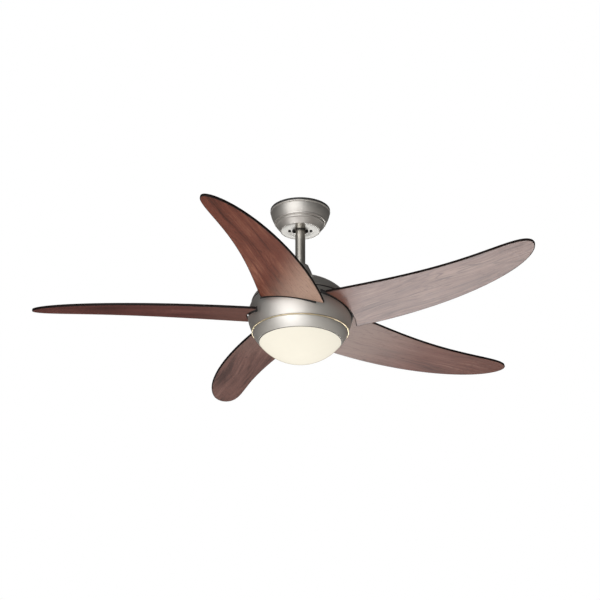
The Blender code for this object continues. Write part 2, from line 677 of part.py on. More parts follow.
# --------------------------------------------------------------------- motor
def make_shaft():
    """Hollow still shaft, from the coupling down through the light pan."""
    top = ROD_FOOT_Z - GAP - COUPLING_FLOOR - GAP
    collar_foot = PAN_TOP_Z + GAP
    foot = PAN_TOP_Z - PAN_WALL - NUT_HEIGHT - THREAD_LEFT
    section = [
        (SHAFT_RADIUS, top), (SHAFT_RADIUS, collar_foot + SHAFT_COLLAR_THICK),
        (SHAFT_COLLAR_RADIUS, collar_foot + SHAFT_COLLAR_THICK),
        (SHAFT_COLLAR_RADIUS, collar_foot), (SHAFT_RADIUS, collar_foot),
        (SHAFT_RADIUS, foot), (SHAFT_BORE, foot), (SHAFT_BORE, top),
    ]
    finish("motor_shaft", turned(section, MEDIUM), STEEL)


def make_bearing(name, middle_z):
    bm = turned([
        (BEARING_RADIUS, middle_z + BEARING_WIDTH / 2),
        (BEARING_RADIUS, middle_z - BEARING_WIDTH / 2),
        (SHAFT_RADIUS + GAP, middle_z - BEARING_WIDTH / 2),
        (SHAFT_RADIUS + GAP, middle_z + BEARING_WIDTH / 2),
    ], MEDIUM)
    finish(name, bm, STEEL)


def make_motor():
    """Turning case halves and ring round the still core and windings."""
    half = MOTOR_HEIGHT / 2 - GAP / 2
    seat = BEARING_RADIUS + GAP
    boss = seat + BEARING_SEAT_WALL
    boss_rise = BEARING_WIDTH - MOTOR_WALL
    profile = [
        (boss, half + boss_rise), (boss, half), (MOTOR_RADIUS - MOTOR_CHAMFER, half),
        (MOTOR_RADIUS, half - MOTOR_CHAMFER), (MOTOR_RADIUS, GAP / 2),
        (MOTOR_RADIUS - MOTOR_WALL, GAP / 2),
        (MOTOR_RADIUS - MOTOR_WALL, half - MOTOR_CHAMFER),
        (MOTOR_RADIUS - MOTOR_CHAMFER - MOTOR_WALL / 2, half - MOTOR_WALL),
        (seat, half - MOTOR_WALL), (seat, half + boss_rise),
    ]
    upper = [(radius, MOTOR_MIDDLE_Z + height) for radius, height in profile]
    lower = [(radius, MOTOR_MIDDLE_Z - height) for radius, height in profile]
    finish("rotor_case_upper", turned(upper, LARGE), CAST)
    finish("rotor_case_lower", turned(lower, LARGE), CAST)
    bearing_z = half - MOTOR_WALL / 2 + boss_rise / 2
    make_bearing("bearing_upper", MOTOR_MIDDLE_Z + bearing_z)
    make_bearing("bearing_lower", MOTOR_MIDDLE_Z - bearing_z)

    ring_outer = MOTOR_RADIUS - MOTOR_WALL - GAP
    ring_inner = ring_outer - ROTOR_RING_WIDTH
    top = MOTOR_MIDDLE_Z + CORE_HEIGHT / 2
    foot = MOTOR_MIDDLE_Z - CORE_HEIGHT / 2
    ring = [(ring_outer, top), (ring_outer, foot), (ring_inner, foot), (ring_inner, top)]
    finish("rotor_ring", turned(ring, LARGE), DARK_STEEL)

    tooth_tip = ring_inner - AIR_GAP
    pitch = 2 * pi / CORE_SLOTS
    rim = []
    for slot in range(CORE_SLOTS):
        for share, radius in (
            (-0.40, tooth_tip), (0.0, tooth_tip), (0.40, tooth_tip),
            (0.46, CORE_YOKE_RADIUS), (0.54, CORE_YOKE_RADIUS),
        ):
            angle = (slot + share) * pitch
            rim.append((radius * cos(angle), radius * sin(angle), foot))
    bm = bmesh.new()
    face = bm.faces.new([bm.verts.new(point) for point in rim])
    raised = bmesh.ops.extrude_face_region(bm, geom=[face])["geom"]
    lifted = [part for part in raised if isinstance(part, bmesh.types.BMVert)]
    bmesh.ops.translate(bm, verts=lifted, vec=(0, 0, CORE_HEIGHT))
    core = finish("stator_core", bm, DARK_STEEL, smooth=False)
    bore = bmesh.new()
    add_rod(bore, SHAFT_RADIUS + GAP, (0, 0, foot - 0.01), (0, 0, top + 0.01), MEDIUM)
    combine(core, bore, 'DIFFERENCE')

    for name, side in (("winding_upper", 1), ("winding_lower", -1)):
        middle_z = MOTOR_MIDDLE_Z + side * (CORE_HEIGHT / 2 + GAP + WINDING_HEIGHT)
        section = []
        for i in range(8):
            angle = -2 * pi * i / 8
            section.append((
                WINDING_RADIUS + WINDING_WIDTH * cos(angle),
                middle_z + WINDING_HEIGHT * sin(angle),
            ))
        finish(name, turned(section, MEDIUM), COPPER)


# -------------------------------------------------------------------- blades
def blade_edge(s, side):
    """Point (along, across) of the blade's edge at share s of its length."""
    along = BLADE_CURVE_START + s * (BLADE_TIP_RADIUS - BLADE_CURVE_START)
    roundness = sqrt(1 - min(1, max(0, s) ** BLADE_TIP_POWER))
    half = cubic(BLADE_HALF_WIDTH, s) * roundness
    return along, cubic(BLADE_CENTRE, s) + side * half


def root_distance(point):
    """How far a point lies outside the root cut's circle."""
    centre = ROOT_NEAREST - BLADE_ROOT_ARC
    return sqrt((point[0] - centre) ** 2 + point[1] ** 2) - BLADE_ROOT_ARC


def root_share(side):
    """Share of the length where an edge meets the root cut."""
    low, high = -0.3, 0.5
    for _ in range(40):
        middle = (low + high) / 2
        if root_distance(blade_edge(middle, side)) < 0:
            low = middle
        else:
            high = middle
    return (low + high) / 2


def blade_outline(steps=18):
    """Outline of a blade, counterclockwise, starting at the root cut."""
    centre = ROOT_NEAREST - BLADE_ROOT_ARC
    starts = {side: root_share(side) for side in (-1, 1)}
    edges = {}
    for side in (-1, 1):
        edges[side] = []
        for i in range(steps + 1):
            share = 1 - (1 - i / steps) ** 2.0
            s = starts[side] + share * (1 - starts[side])
            edges[side].append(blade_edge(s, side))
    first = atan2(edges[1][0][1], edges[1][0][0] - centre)
    last = atan2(edges[-1][0][1], edges[-1][0][0] - centre)
    root = []
    for i in range(1, 8):
        angle = first + (last - first) * i / 8
        root.append((centre + BLADE_ROOT_ARC * cos(angle), BLADE_ROOT_ARC * sin(angle)))
    return edges[-1][:-1] + edges[1][::-1] + root


def screw_spots():
    along = ROOT_NEAREST + IRON_REACH - BLADE_SCREW_INSET
    return [(along, IRON_MIDDLE + side * BLADE_SCREW_SPACING / 2) for side in (-1, 1)]


def make_blade(number, angle):
    bm = bmesh.new()
    verts = [bm.verts.new((*point, -BLADE_THICK / 2)) for point in blade_outline()]
    face = bm.faces.new(verts)
    raised = bmesh.ops.extrude_face_region(bm, geom=[face])["geom"]
    lifted = [part for part in raised if isinstance(part, bmesh.types.BMVert)]
    bmesh.ops.translate(bm, verts=lifted, vec=(0, 0, BLADE_THICK))
    place = around(angle) @ BLADE_MATRIX
    bmesh.ops.transform(bm, verts=bm.verts, matrix=place)
    blade = finish("blade_%d" % number, bm, WALNUT)
    holes = bmesh.new()
    depth = BLADE_SCREW_LENGTH - BLADE_THICK / 2
    for along, across in screw_spots():
        add_rod(
            holes, BLADE_SCREW_RADIUS + SCREW_GAP,
            place @ Vector((along, across, -depth - GAP)),
            place @ Vector((along, across, BLADE_THICK)), TINY,
        )
    combine(blade, holes, 'DIFFERENCE')


def make_iron(number, angle):
    """Pressed steel arm: flat foot under the motor, twisted neck, wide pad."""
    neck_start = IRON_INNER_RADIUS + IRON_FOOT_LENGTH
    neck_end = SHELL_RADIUS * 0.90
    pad_start = ROOT_NEAREST + IRON_PAD_GAP
    pad_end = ROOT_NEAREST + IRON_REACH
    foot_height = MOTOR_FOOT_Z - GAP - IRON_THICK
    rows = []
    for along in (IRON_INNER_RADIUS, neck_start):
        row = [
            Vector((along, side * IRON_FOOT_WIDTH / 2, foot_height + level * IRON_THICK))
            for side, level in ((-1, 0), (1, 0), (1, 1), (-1, 1))
        ]
        rows.append(row)
    pads = [
        (neck_end, IRON_NECK_WIDTH), (pad_start, IRON_NECK_WIDTH),
        (pad_start + IRON_PAD_FLARE, IRON_PAD_WIDTH),
        (pad_end - IRON_CORNER[0], IRON_PAD_WIDTH),
        (pad_end, IRON_PAD_WIDTH - 2 * IRON_CORNER[1]),
    ]
    for along, width in pads:
        row = [
            BLADE_MATRIX @ Vector((
                along, IRON_MIDDLE + side * width / 2, IRON_FACE + level * IRON_THICK,
            ))
            for side, level in ((-1, 0), (1, 0), (1, 1), (-1, 1))
        ]
        rows.append(row)
    bm = bmesh.new()
    rings = [[bm.verts.new(point) for point in row] for row in rows]
    bm.faces.new(rings[0][::-1])
    bm.faces.new(rings[-1])
    for near, far in zip(rings, rings[1:]):
        for i in range(4):
            j = (i + 1) % 4
            bm.faces.new((near[i], near[j], far[j], far[i]))
    bmesh.ops.triangulate(bm, faces=bm.faces)
    bmesh.ops.transform(bm, verts=bm.verts, matrix=around(angle))
    iron = finish("blade_iron_%d" % number, bm, NICKEL, smooth=False)
    place = around(angle) @ BLADE_MATRIX
    holes = bmesh.new()
    for along, across in screw_spots():
        add_rod(
            holes, BLADE_SCREW_RADIUS + SCREW_GAP,
            place @ Vector((along, across, 0)),
            place @ Vector((along, across, IRON_FACE + 3 * IRON_THICK)), TINY,
        )
    combine(iron, holes, 'DIFFERENCE')


def make_blade_screws(number, angle):
    place = around(angle) @ BLADE_MATRIX
    seat = IRON_FACE + IRON_THICK + GAP
    tip = BLADE_THICK / 2 - BLADE_SCREW_LENGTH
    for letter, (along, across) in zip("ab", screw_spots()):
        screw = turned([
            (0, seat + BLADE_SCREW_RISE), (BLADE_SCREW_HEAD * 0.6, seat + BLADE_SCREW_RISE * 0.83),
            (BLADE_SCREW_HEAD, seat + BLADE_SCREW_RISE / 3), (BLADE_SCREW_HEAD, seat),
            (BLADE_SCREW_RADIUS, seat), (BLADE_SCREW_RADIUS, tip), (0, tip),
        ], TINY, closed=False)
        move = place @ Matrix.Translation((along, across, 0))
        bmesh.ops.transform(screw, verts=screw.verts, matrix=move)
        finish("blade_screw_%d%s" % (number, letter), screw, STEEL)


# ----------------------------------------------------------------- light kit
def make_light_pan():
    top = PAN_TOP_Z
    flange_top = FITTER_TOP_Z
    flange_foot = flange_top - PAN_WALL
    section = [
        (PAN_RADIUS, top), (PAN_RADIUS, flange_top), (PAN_RADIUS + PAN_FLANGE, flange_top),
        (PAN_RADIUS + PAN_FLANGE, flange_foot), (PAN_RADIUS - PAN_WALL, flange_foot),
        (PAN_RADIUS - PAN_WALL, top - PAN_WALL), (SHAFT_RADIUS + GAP, top - PAN_WALL),
        (SHAFT_RADIUS + GAP, top),
    ]
    finish("light_pan", turned(section, LARGE), STEEL)
    nut_top = top - PAN_WALL - GAP
    nut = bmesh.new()
    add_rod(nut, NUT_ACROSS_FLATS / 2 / cos(pi / 6), (0, 0, nut_top - NUT_HEIGHT),
            (0, 0, nut_top), 6)
    item = finish("shaft_nut", nut, STEEL, smooth=False)
    bore = bmesh.new()
    add_rod(bore, SHAFT_RADIUS + GAP, (0, 0, nut_top - 0.02), (0, 0, nut_top + 0.01), MEDIUM)
    combine(item, bore, 'DIFFERENCE')


def make_trim_ring():
    foot = TRIM_TOP_Z - TRIM_HEIGHT
    inner = PAN_RADIUS + PAN_FLANGE - TRIM_OVERLAP
    section = [
        (TRIM_RADIUS - TRIM_EDGE, TRIM_TOP_Z), (TRIM_RADIUS, TRIM_TOP_Z - TRIM_EDGE),
        (TRIM_RADIUS, foot + TRIM_EDGE), (TRIM_RADIUS - TRIM_EDGE, foot),
        (inner, foot), (inner, TRIM_TOP_Z),
    ]
    finish("trim_ring", turned(section, LARGE), GOLD)


def make_fitter():
    """Still shell of the light, with the collar that takes the shade's lugs."""
    collar_inner = NECK_RADIUS + LUG_CLEAR
    collar_outer = collar_inner + COLLAR_WALL
    collar_top = FITTER_FOOT_Z + COLLAR_HEIGHT
    shelf_top = FITTER_TOP_Z - PAN_WALL - GAP
    shelf_foot = shelf_top - FITTER_WALL
    outer = [
        (FITTER_TOP_RADIUS, FITTER_TOP_Z),
        (FITTER_TOP_RADIUS - 0.0035, FITTER_TOP_Z - FITTER_HEIGHT * 0.40),
        (FITTER_RIM_RADIUS + 0.0035, FITTER_FOOT_Z + FITTER_HEIGHT * 0.20),
        (FITTER_RIM_RADIUS, FITTER_FOOT_Z),
    ]
    outline = curve(outer, 4)
    wall = [
        point for point in inside(outline, FITTER_WALL)
        if collar_top - 0.004 < point[1] < shelf_foot - 0.001
    ]
    pocket = (collar_outer + wall[-1][0]) / 2
    section = outline + [
        (collar_inner, FITTER_FOOT_Z), (collar_inner, collar_top),
        (collar_outer, collar_top), (pocket, FITTER_FOOT_Z + COLLAR_HEIGHT * 0.45),
    ] + wall[::-1] + [
        (FITTER_TOP_RADIUS - FITTER_WALL * 1.4, shelf_foot), (PAN_RADIUS + 0.0015, shelf_foot),
        (PAN_RADIUS + 0.0015, shelf_top), (FITTER_TOP_RADIUS - FITTER_WALL, shelf_top),
        (FITTER_TOP_RADIUS - FITTER_WALL, FITTER_TOP_Z),
    ]
    fitter = finish("light_fitter", turned(section, LARGE), NICKEL)
    lug_top = SHADE_TOP_Z + NECK_HEIGHT - LUG_BELOW_TOP
    groove_top = lug_top + LUG_CLEAR
    groove_foot = lug_top - LUG_HEIGHT - LUG_CLEAR
    cuts = bmesh.new()
    for i in range(LUG_COUNT):
        middle = i * 2 * pi / LUG_COUNT
        rest_end = middle + LUG_HALF_ANGLE + LUG_PLAY
        free_end = middle - LUG_HALF_ANGLE - LUG_PLAY - TWIST_ANGLE
        add_sector(cuts, free_end, rest_end, collar_inner - 0.002,
                   NECK_RADIUS + LUG_DEPTH + LUG_CLEAR, groove_foot, groove_top)
    combine(fitter, cuts, 'DIFFERENCE')
    cuts = bmesh.new()
    for i in range(LUG_COUNT):
        free = i * 2 * pi / LUG_COUNT - TWIST_ANGLE
        spread = LUG_HALF_ANGLE + LUG_PLAY
        add_sector(cuts, free - spread, free + spread, collar_inner - 0.002,
                   NECK_RADIUS + LUG_DEPTH + LUG_CLEAR, FITTER_FOOT_Z - 0.002,
                   (groove_foot + groove_top) / 2)
    combine(fitter, cuts, 'DIFFERENCE')


def add_sector(bm, start, end, inner, outer, foot, top):
    """A curved block between two angles, radii and heights."""
    steps = max(2, round((end - start) / radians(5)))
    rings = []
    for i in range(steps + 1):
        angle = start + (end - start) * i / steps
        rings.append([
            bm.verts.new((radius * cos(angle), radius * sin(angle), height))
            for radius, height in ((inner, foot), (outer, foot), (outer, top), (inner, top))
        ])
    bm.faces.new(rings[0])
    bm.faces.new(rings[-1][::-1])
    for near, far in zip(rings, rings[1:]):
        for i in range(4):
            j = (i + 1) % 4
            bm.faces.new((near[j], near[i], far[i], far[j]))


def make_lamps():
    """Two lamp holders under the pan with a bulb in each."""
    pan_under = PAN_TOP_Z - PAN_WALL - GAP
    base_start = HOLDER_OFFSET + HOLDER_LENGTH - BULB_BASE_LENGTH
    for number, side in ((1, 1), (2, -1)):
        turn = Matrix.Translation((0, 0, BULB_Z)) @ Matrix.Rotation(side * pi / 2, 4, 'Y')
        outer_end = HOLDER_OFFSET + HOLDER_LENGTH
        floor = base_start - GAP
        holder = turned([
            (0, HOLDER_OFFSET), (HOLDER_RADIUS, HOLDER_OFFSET), (HOLDER_RADIUS, outer_end),
            (HOLDER_BORE, outer_end), (HOLDER_BORE, floor), (0, floor),
        ], SMALL, closed=False)
        bmesh.ops.transform(holder, verts=holder.verts, matrix=turn)
        item = finish("lamp_holder_%d" % number, holder, WHITE_PLASTIC)
        foot = bmesh.new()
        ends = sorted((side * (HOLDER_OFFSET + 0.008), side * (outer_end - 0.008)))
        add_block(
            foot, (ends[0], -0.008, BULB_Z + HOLDER_RADIUS - 0.0015),
            (ends[1], 0.008, pan_under),
        )
        combine(item, foot, 'UNION')
        ball_middle = base_start + BULB_LENGTH - BULB_RADIUS
        profile = [(0, base_start), (BULB_BASE_RADIUS * 0.55, base_start + 0.0005),
                   (BULB_BASE_RADIUS, base_start + 0.004),
                   (BULB_BASE_RADIUS, base_start + BULB_BASE_LENGTH + 0.001)]
        for i in range(9):
            angle = radians(135) * (1 - i / 8)
            profile.append((
                BULB_RADIUS * sin(angle), ball_middle + BULB_RADIUS * cos(angle),
            ))
        profile[-1] = (0, ball_middle + BULB_RADIUS)
        bulb = turned(profile, SMALL, closed=False)
        bmesh.ops.transform(bulb, verts=bulb.verts, matrix=turn)
        finish("bulb_%d" % number, bulb, OPAL)
    length, width, height = CAPACITOR_SIZE
    box = bmesh.new()
    add_block(
        box, (-length / 2, CAPACITOR_OFFSET - width / 2, pan_under - height),
        (length / 2, CAPACITOR_OFFSET + width / 2, pan_under),
    )
    bmesh.ops.bevel(box, geom=box.edges, offset=0.0015, segments=2, affect='EDGES', profile=0.5)
    finish("capacitor", box, BLACK_PLASTIC)


def make_shade():
    """Opal glass dome with a neck and three lugs."""
    sphere = (SHADE_RADIUS ** 2 + SHADE_DEPTH ** 2) / (2 * SHADE_DEPTH)
    centre_z = SHADE_TOP_Z - SHADE_DEPTH + sphere
    rim_angle = asin(SHADE_RADIUS / sphere)
    steps = 7
    outer = []
    for i in range(steps + 1):
        angle = rim_angle * (1 - i / steps)
        outer.append((sphere * sin(angle), centre_z - sphere * cos(angle)))
    thin = sphere - SHADE_WALL
    neck_inner = NECK_RADIUS - SHADE_WALL
    inner_angle = asin(neck_inner / thin)
    inner = []
    for i in range(steps + 1):
        angle = inner_angle * i / steps
        inner.append((thin * sin(angle), centre_z - thin * cos(angle)))
    neck_top = SHADE_TOP_Z + NECK_HEIGHT
    section = [
        (NECK_RADIUS, SHADE_TOP_Z),
    ] + outer + inner + [(neck_inner, neck_top), (NECK_RADIUS, neck_top)]
    shade = finish("glass_shade", turned(section, LARGE, closed=True), OPAL)
    lug_top = neck_top - LUG_BELOW_TOP
    lugs = bmesh.new()
    for i in range(LUG_COUNT):
        middle = i * 2 * pi / LUG_COUNT
        add_sector(lugs, middle - LUG_HALF_ANGLE, middle + LUG_HALF_ANGLE,
                   NECK_RADIUS - SHADE_WALL / 2, NECK_RADIUS + LUG_DEPTH,
                   lug_top - LUG_HEIGHT, lug_top)
    combine(shade, lugs, 'UNION')


def main():
    clear_scene()
    make_bracket()
    make_canopy()
    make_base_plate()
    make_electrics()
    make_ball()
    make_rod()
    make_coupling()
    make_coupling_cover()
    make_dome()
    make_shell()
    make_shaft()
    make_motor()
    for number, angle in enumerate(blade_angles(), start=1):
        make_blade(number, angle)
        make_iron(number, angle)
        make_blade_screws(number, angle)
    make_light_pan()
    make_trim_ring()
    make_fitter()
    make_lamps()
    make_shade()


main()
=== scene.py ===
"""Ceiling fan with a light: finished shapes, finishes, light and camera.

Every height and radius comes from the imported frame, or from the few driving
sizes below, in metres, with +Z up.
"""
from math import asin, atan2, cos, pi, radians, sin, sqrt

import bmesh
import bpy
from mathutils import Matrix, Vector


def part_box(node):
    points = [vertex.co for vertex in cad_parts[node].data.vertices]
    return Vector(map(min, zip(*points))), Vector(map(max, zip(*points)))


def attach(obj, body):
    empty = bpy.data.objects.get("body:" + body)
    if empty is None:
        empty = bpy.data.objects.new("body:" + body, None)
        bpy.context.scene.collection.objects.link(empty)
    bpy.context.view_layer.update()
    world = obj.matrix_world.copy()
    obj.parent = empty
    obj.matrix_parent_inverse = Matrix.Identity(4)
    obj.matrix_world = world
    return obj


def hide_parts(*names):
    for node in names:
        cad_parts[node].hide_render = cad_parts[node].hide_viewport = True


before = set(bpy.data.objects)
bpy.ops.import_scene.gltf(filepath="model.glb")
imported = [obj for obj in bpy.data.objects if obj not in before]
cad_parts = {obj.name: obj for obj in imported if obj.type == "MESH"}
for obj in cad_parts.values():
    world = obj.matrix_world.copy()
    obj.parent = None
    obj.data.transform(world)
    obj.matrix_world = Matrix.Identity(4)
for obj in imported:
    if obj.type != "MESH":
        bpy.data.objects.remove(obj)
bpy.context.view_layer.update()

# ------------------------------------------------------------ driving sizes
GAP = 0.0004
WALL = 0.0013                 # spun sheet of the canopy, cover and housing
GLASS_WALL = 0.0030
SEAM_EDGE = 0.0006            # rounding on sheet edges
BALL_RADIUS = 0.026
BLADE_LEVEL = 0.0362          # blade plane below the turning shell's top
BLADE_COUNT = 5
FIRST_BLADE_ANGLE = radians(-37.7)
BLADE_PITCH = radians(-11.5)
BLADE_RISE = radians(2.0)
BLADE_THICK = 0.006
BLADE_EDGE_ROUND = 0.0011
BLADE_CORNER = 0.006
BLADE_BORDER = 0.0013
BLADE_TIP_RADIUS = 0.670
BLADE_CURVE_START = 0.100
BLADE_CENTRE = (0.0175, 0.0525, 0.0740, 0.0160)
BLADE_HALF_WIDTH = (0.0830, 0.0810, 0.0500, 0.0620)
BLADE_TIP_POWER = 5.1
BLADE_ROOT_GAP = 0.0016
BLADE_ROOT_ARC = 0.170
SLOT_ENDS = (-0.0655, 0.0800)
SLOT_INNER = 0.085
SLOT_UNDER = 0.0016
SLOT_OVER = 0.0056
IRON_SOFTENING = 0.0005
SCREW_RADIUS = 0.0022
RECESS_DEPTH = 0.0012         # driver cross in a screw's head
LIP_WIDTH = 0.0012            # rolled lip round the canopy's base plate
LIP_HEIGHT = 0.0020
LEDGE_WIDTH = 0.0040          # canopy's inner ledge, over the plate's rim
LEDGE_TOP = 0.0032
CANOPY_RINGS = (              # height, half width and depth of each pressed ring
    (-0.0068, 0.0014, -0.0006), (-0.0094, 0.0014, 0.0012), (-0.0366, 0.0030, -0.0008),
    (-0.0400, 0.0016, 0.0016), (-0.0434, 0.0030, -0.0007),
)
GASKET_HALF_WIDTH = 0.0018
PLATE_HOLE_RADIUS = 0.0205
COVER_SCREW_TAPER = 0.0008    # length of the chamfer at the screw's tip
HEAD_EDGE = 0.0003            # rounding under a screw's head
ROD_WALL = 0.0020
ROD_EDGE = 0.0005
COVER_NECK_RADIUS = 0.0210
SLOT_SHADE_BELOW = 0.014           # painted shade: black band below and above the blade plane, behind the blade slots
SLOT_SHADE_ABOVE = 0.028
SLOT_SHADE_FACES = (0.0002, 0.0007)   # its two faces, inside the shell's wall
DOME_NECK_RADIUS = 0.030
DOME_BORE = 0.0184
WEB_LEVEL = 0.016             # shell web below the blade plane
WEB_THICK = 0.002
WEB_HOLE_RADIUS = 0.030
IRON_THICK = 0.0030
IRON_SCREW_HEAD = 0.0045
IRON_SCREW_RISE = 0.0024
IRON_SCREW_BITE = 0.0040      # screw tip below the blade's upper face
IRON_SCREW_ALONG = 0.055      # screws past the blade's root
IRON_SCREW_ACROSS = (("a", 0.002), ("b", 0.046))
RING_INNER_RADIUS = 0.1155
FITTER_WALL = 0.0014
FITTER_BULGE = 0.0035
FITTER_SHELF_DROP = 0.0016    # shelf under the fitter's top edge
FITTER_SHELF_RADIUS = 0.1095
COLLAR_GAP = 0.0023           # fitter collar outside the glass neck
COLLAR_REACH = 0.0038
COLLAR_HEIGHT = 0.0125
SHADE_SHOULDER = 0.0010
MOUTH_EDGE = 0.0006
LUG_DROP = 0.0025             # lug below the neck's top
LUG_HEIGHT = 0.0030
LUG_HALF_WIDTH = 0.0085
LUG_REACH = 0.0016
LUG_ROOT = 0.0010             # lug sunk into the neck
ROOM_LEVEL = 0.45
ROOM_GLOSSY_DROP = -0.37      # darker room in the metal's reflections
CAMERA_LENS = 117.68
CAMERA_SIDE, CAMERA_BACK, CAMERA_DROP = -0.0007, -4.492, 1.930
CAMERA_TILT = radians(90 + 23.749)

FINE = 160                    # facets on the large turnings
ROUND = 72
SMALL = 32

# ------------------------------------------------- heights from the frame


def low(name, axis=2):
    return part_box(name)[0][axis]


def high(name, axis=2):
    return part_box(name)[1][axis]


BASE_Z = low("canopy")
CANOPY_RADIUS = high("canopy_gasket", 0)
GASKET_FOOT = low("canopy_gasket")
PLATE_RADIUS = high("canopy_base_plate", 0)
PLATE_FOOT, PLATE_TOP = low("canopy_base_plate"), high("canopy_base_plate")
ROD_RADIUS = high("downrod", 0)
ROD_FOOT, ROD_TOP = low("downrod"), high("downrod")
BALL_Z = (low("hanger_ball") + high("hanger_ball")) / 2
COVER_FOOT, COVER_TOP = low("coupling_cover"), high("coupling_cover")
COVER_RADIUS = high("coupling_cover", 0)
DOME_FOOT, DOME_TOP = low("upper_housing"), high("upper_housing")
SEAM_RADIUS = high("upper_housing", 0)
SHELL_FOOT, SHELL_TOP = low("turning_shell"), high("turning_shell")
SHELL_RADIUS = 0.1309
SHELL_FOOT_RADIUS = 0.1199
BLADE_Z = SHELL_TOP - BLADE_LEVEL
RING_FOOT, RING_TOP = low("trim_ring"), high("trim_ring")
RING_RADIUS = high("trim_ring", 0)
FITTER_FOOT, FITTER_TOP = low("light_fitter"), high("light_fitter")
FITTER_TOP_RADIUS = high("light_fitter", 0)
FITTER_RIM_RADIUS = 0.1040
SHADE_FOOT, NECK_TOP = low("glass_shade"), high("glass_shade")
SHADE_TOP = FITTER_FOOT - GAP
SHADE_RADIUS = 0.1027
NECK_RADIUS = 0.0980
BLADE_PLACE = Matrix.Translation((0, 0, BLADE_Z)) @ (
    Matrix.Rotation(-BLADE_RISE, 4, 'Y') @ Matrix.Rotation(BLADE_PITCH, 4, 'X')
)


def around(angle):
    return Matrix.Rotation(angle, 4, 'Z')


def blade_angles():
    return [FIRST_BLADE_ANGLE + i * 2 * pi / BLADE_COUNT for i in range(BLADE_COUNT)]


# --------------------------------------------------------------- node tools
def put(tree, kind, inputs=None, **settings):
    """Add a node, set its own settings, then fill or link its inputs."""
    item = tree.nodes.new(kind)
    for key, value in settings.items():
        setattr(item, key, value)
    for key, value in (inputs or {}).items():
        socket = item.inputs[key]
        if isinstance(value, bpy.types.NodeSocket):
            tree.links.new(value, socket)
        else:
            socket.default_value = value
    return item


def maths(tree, operation, first, second=0.0, third=0.0, clamp=False):
    item = put(
        tree, "ShaderNodeMath", {0: first, 1: second, 2: third},
        operation=operation, use_clamp=clamp,
    )
    return item.outputs[0]


def mix_colour(tree, share, first, second, kind='MIX'):
    item = put(
        tree, "ShaderNodeMix", {0: share, 6: first, 7: second},
        data_type='RGBA', blend_type=kind,
    )
    return item.outputs[2]


def scale_colour(tree, colour, share):
    item = put(tree, "ShaderNodeVectorMath", {0: colour, "Scale": share}, operation='SCALE')
    return item.outputs[0]


def noise(tree, vector, scale, detail=2.0, roughness=0.5):
    item = put(
        tree, "ShaderNodeTexNoise",
        {"Vector": vector, "Scale": scale, "Detail": detail, "Roughness": roughness},
    )
    return item.outputs["Fac"]


def steps(tree, value, start, end):
    """Smooth 0..1 rise of a value between start and end."""
    item = put(
        tree, "ShaderNodeMapRange",
        {"Value": value, "From Min": start, "From Max": end},
        interpolation_type='SMOOTHSTEP',
    )
    return item.outputs[0]


def new_group(name, inputs, outputs):
    """An empty shader group with its named sockets."""
    tree = bpy.data.node_groups.new(name, 'ShaderNodeTree')
    kinds = {"value": 'NodeSocketFloat', "vector": 'NodeSocketVector', "colour": 'NodeSocketColor'}
    for label, kind, value in inputs:
        socket = tree.interface.new_socket(label, in_out='INPUT', socket_type=kinds[kind])
        if value is not None:
            socket.default_value = value
    for label, kind in outputs:
        tree.interface.new_socket(label, in_out='OUTPUT', socket_type=kinds[kind])
    return tree, tree.nodes.new('NodeGroupInput').outputs, tree.nodes.new('NodeGroupOutput').inputs


def turned_grain_group():
    """Fine rings left by turning or spinning, with slow handling marks."""
    tree, given, result = new_group(
        "turned grain",
        [("Position", "vector", None), ("Lines", "value", 900.0), ("Depth", "value", 0.06),
         ("Roughness", "value", 0.3), ("Spread", "value", 0.06)],
        [("Shade", "value"), ("Roughness", "value"), ("Height", "value")],
    )
    parts = put(tree, "ShaderNodeSeparateXYZ", {0: given["Position"]}).outputs
    flat = put(tree, "ShaderNodeCombineXYZ", {0: parts[0], 1: parts[1]}).outputs[0]
    radius = put(tree, "ShaderNodeVectorMath", {0: flat}, operation='LENGTH').outputs["Value"]
    across = put(
        tree, "ShaderNodeCombineXYZ",
        {0: maths(tree, 'MULTIPLY', radius, given["Lines"]),
         1: maths(tree, 'MULTIPLY', parts[2], given["Lines"])},
    ).outputs[0]
    rings = noise(tree, across, 1.0, 3.0, 0.6)
    marks = noise(tree, given["Position"], 34.0, 3.0, 0.6)
    ring_part = maths(tree, 'SUBTRACT', rings, 0.5)
    mark_part = maths(tree, 'SUBTRACT', marks, 0.5)
    both = maths(tree, 'ADD', ring_part, mark_part)
    tree.links.new(maths(tree, 'MULTIPLY_ADD', both, given["Depth"], 1.0), result["Shade"])
    tree.links.new(
        maths(tree, 'MULTIPLY_ADD', both, given["Spread"], given["Roughness"]),
        result["Roughness"],
    )
    tree.links.new(rings, result["Height"])
    return tree


def edge_wear_group():
    """Mask of the sharp outer edges, broken up as handling leaves them."""
    tree, given, result = new_group(
        "edge wear",
        [("Position", "vector", None), ("Reach", "value", 0.06)],
        [("Mask", "value")],
    )
    point = tree.nodes.new("ShaderNodeNewGeometry").outputs["Pointiness"]
    start = maths(tree, 'ADD', 0.5, maths(tree, 'MULTIPLY', given["Reach"], 0.3))
    end = maths(tree, 'ADD', 0.5, given["Reach"])
    edge = steps(tree, point, start, end)
    broken = steps(tree, noise(tree, given["Position"], 160.0, 4.0, 0.6), 0.3, 0.6)
    tree.links.new(maths(tree, 'MULTIPLY', edge, broken), result["Mask"])
    return tree


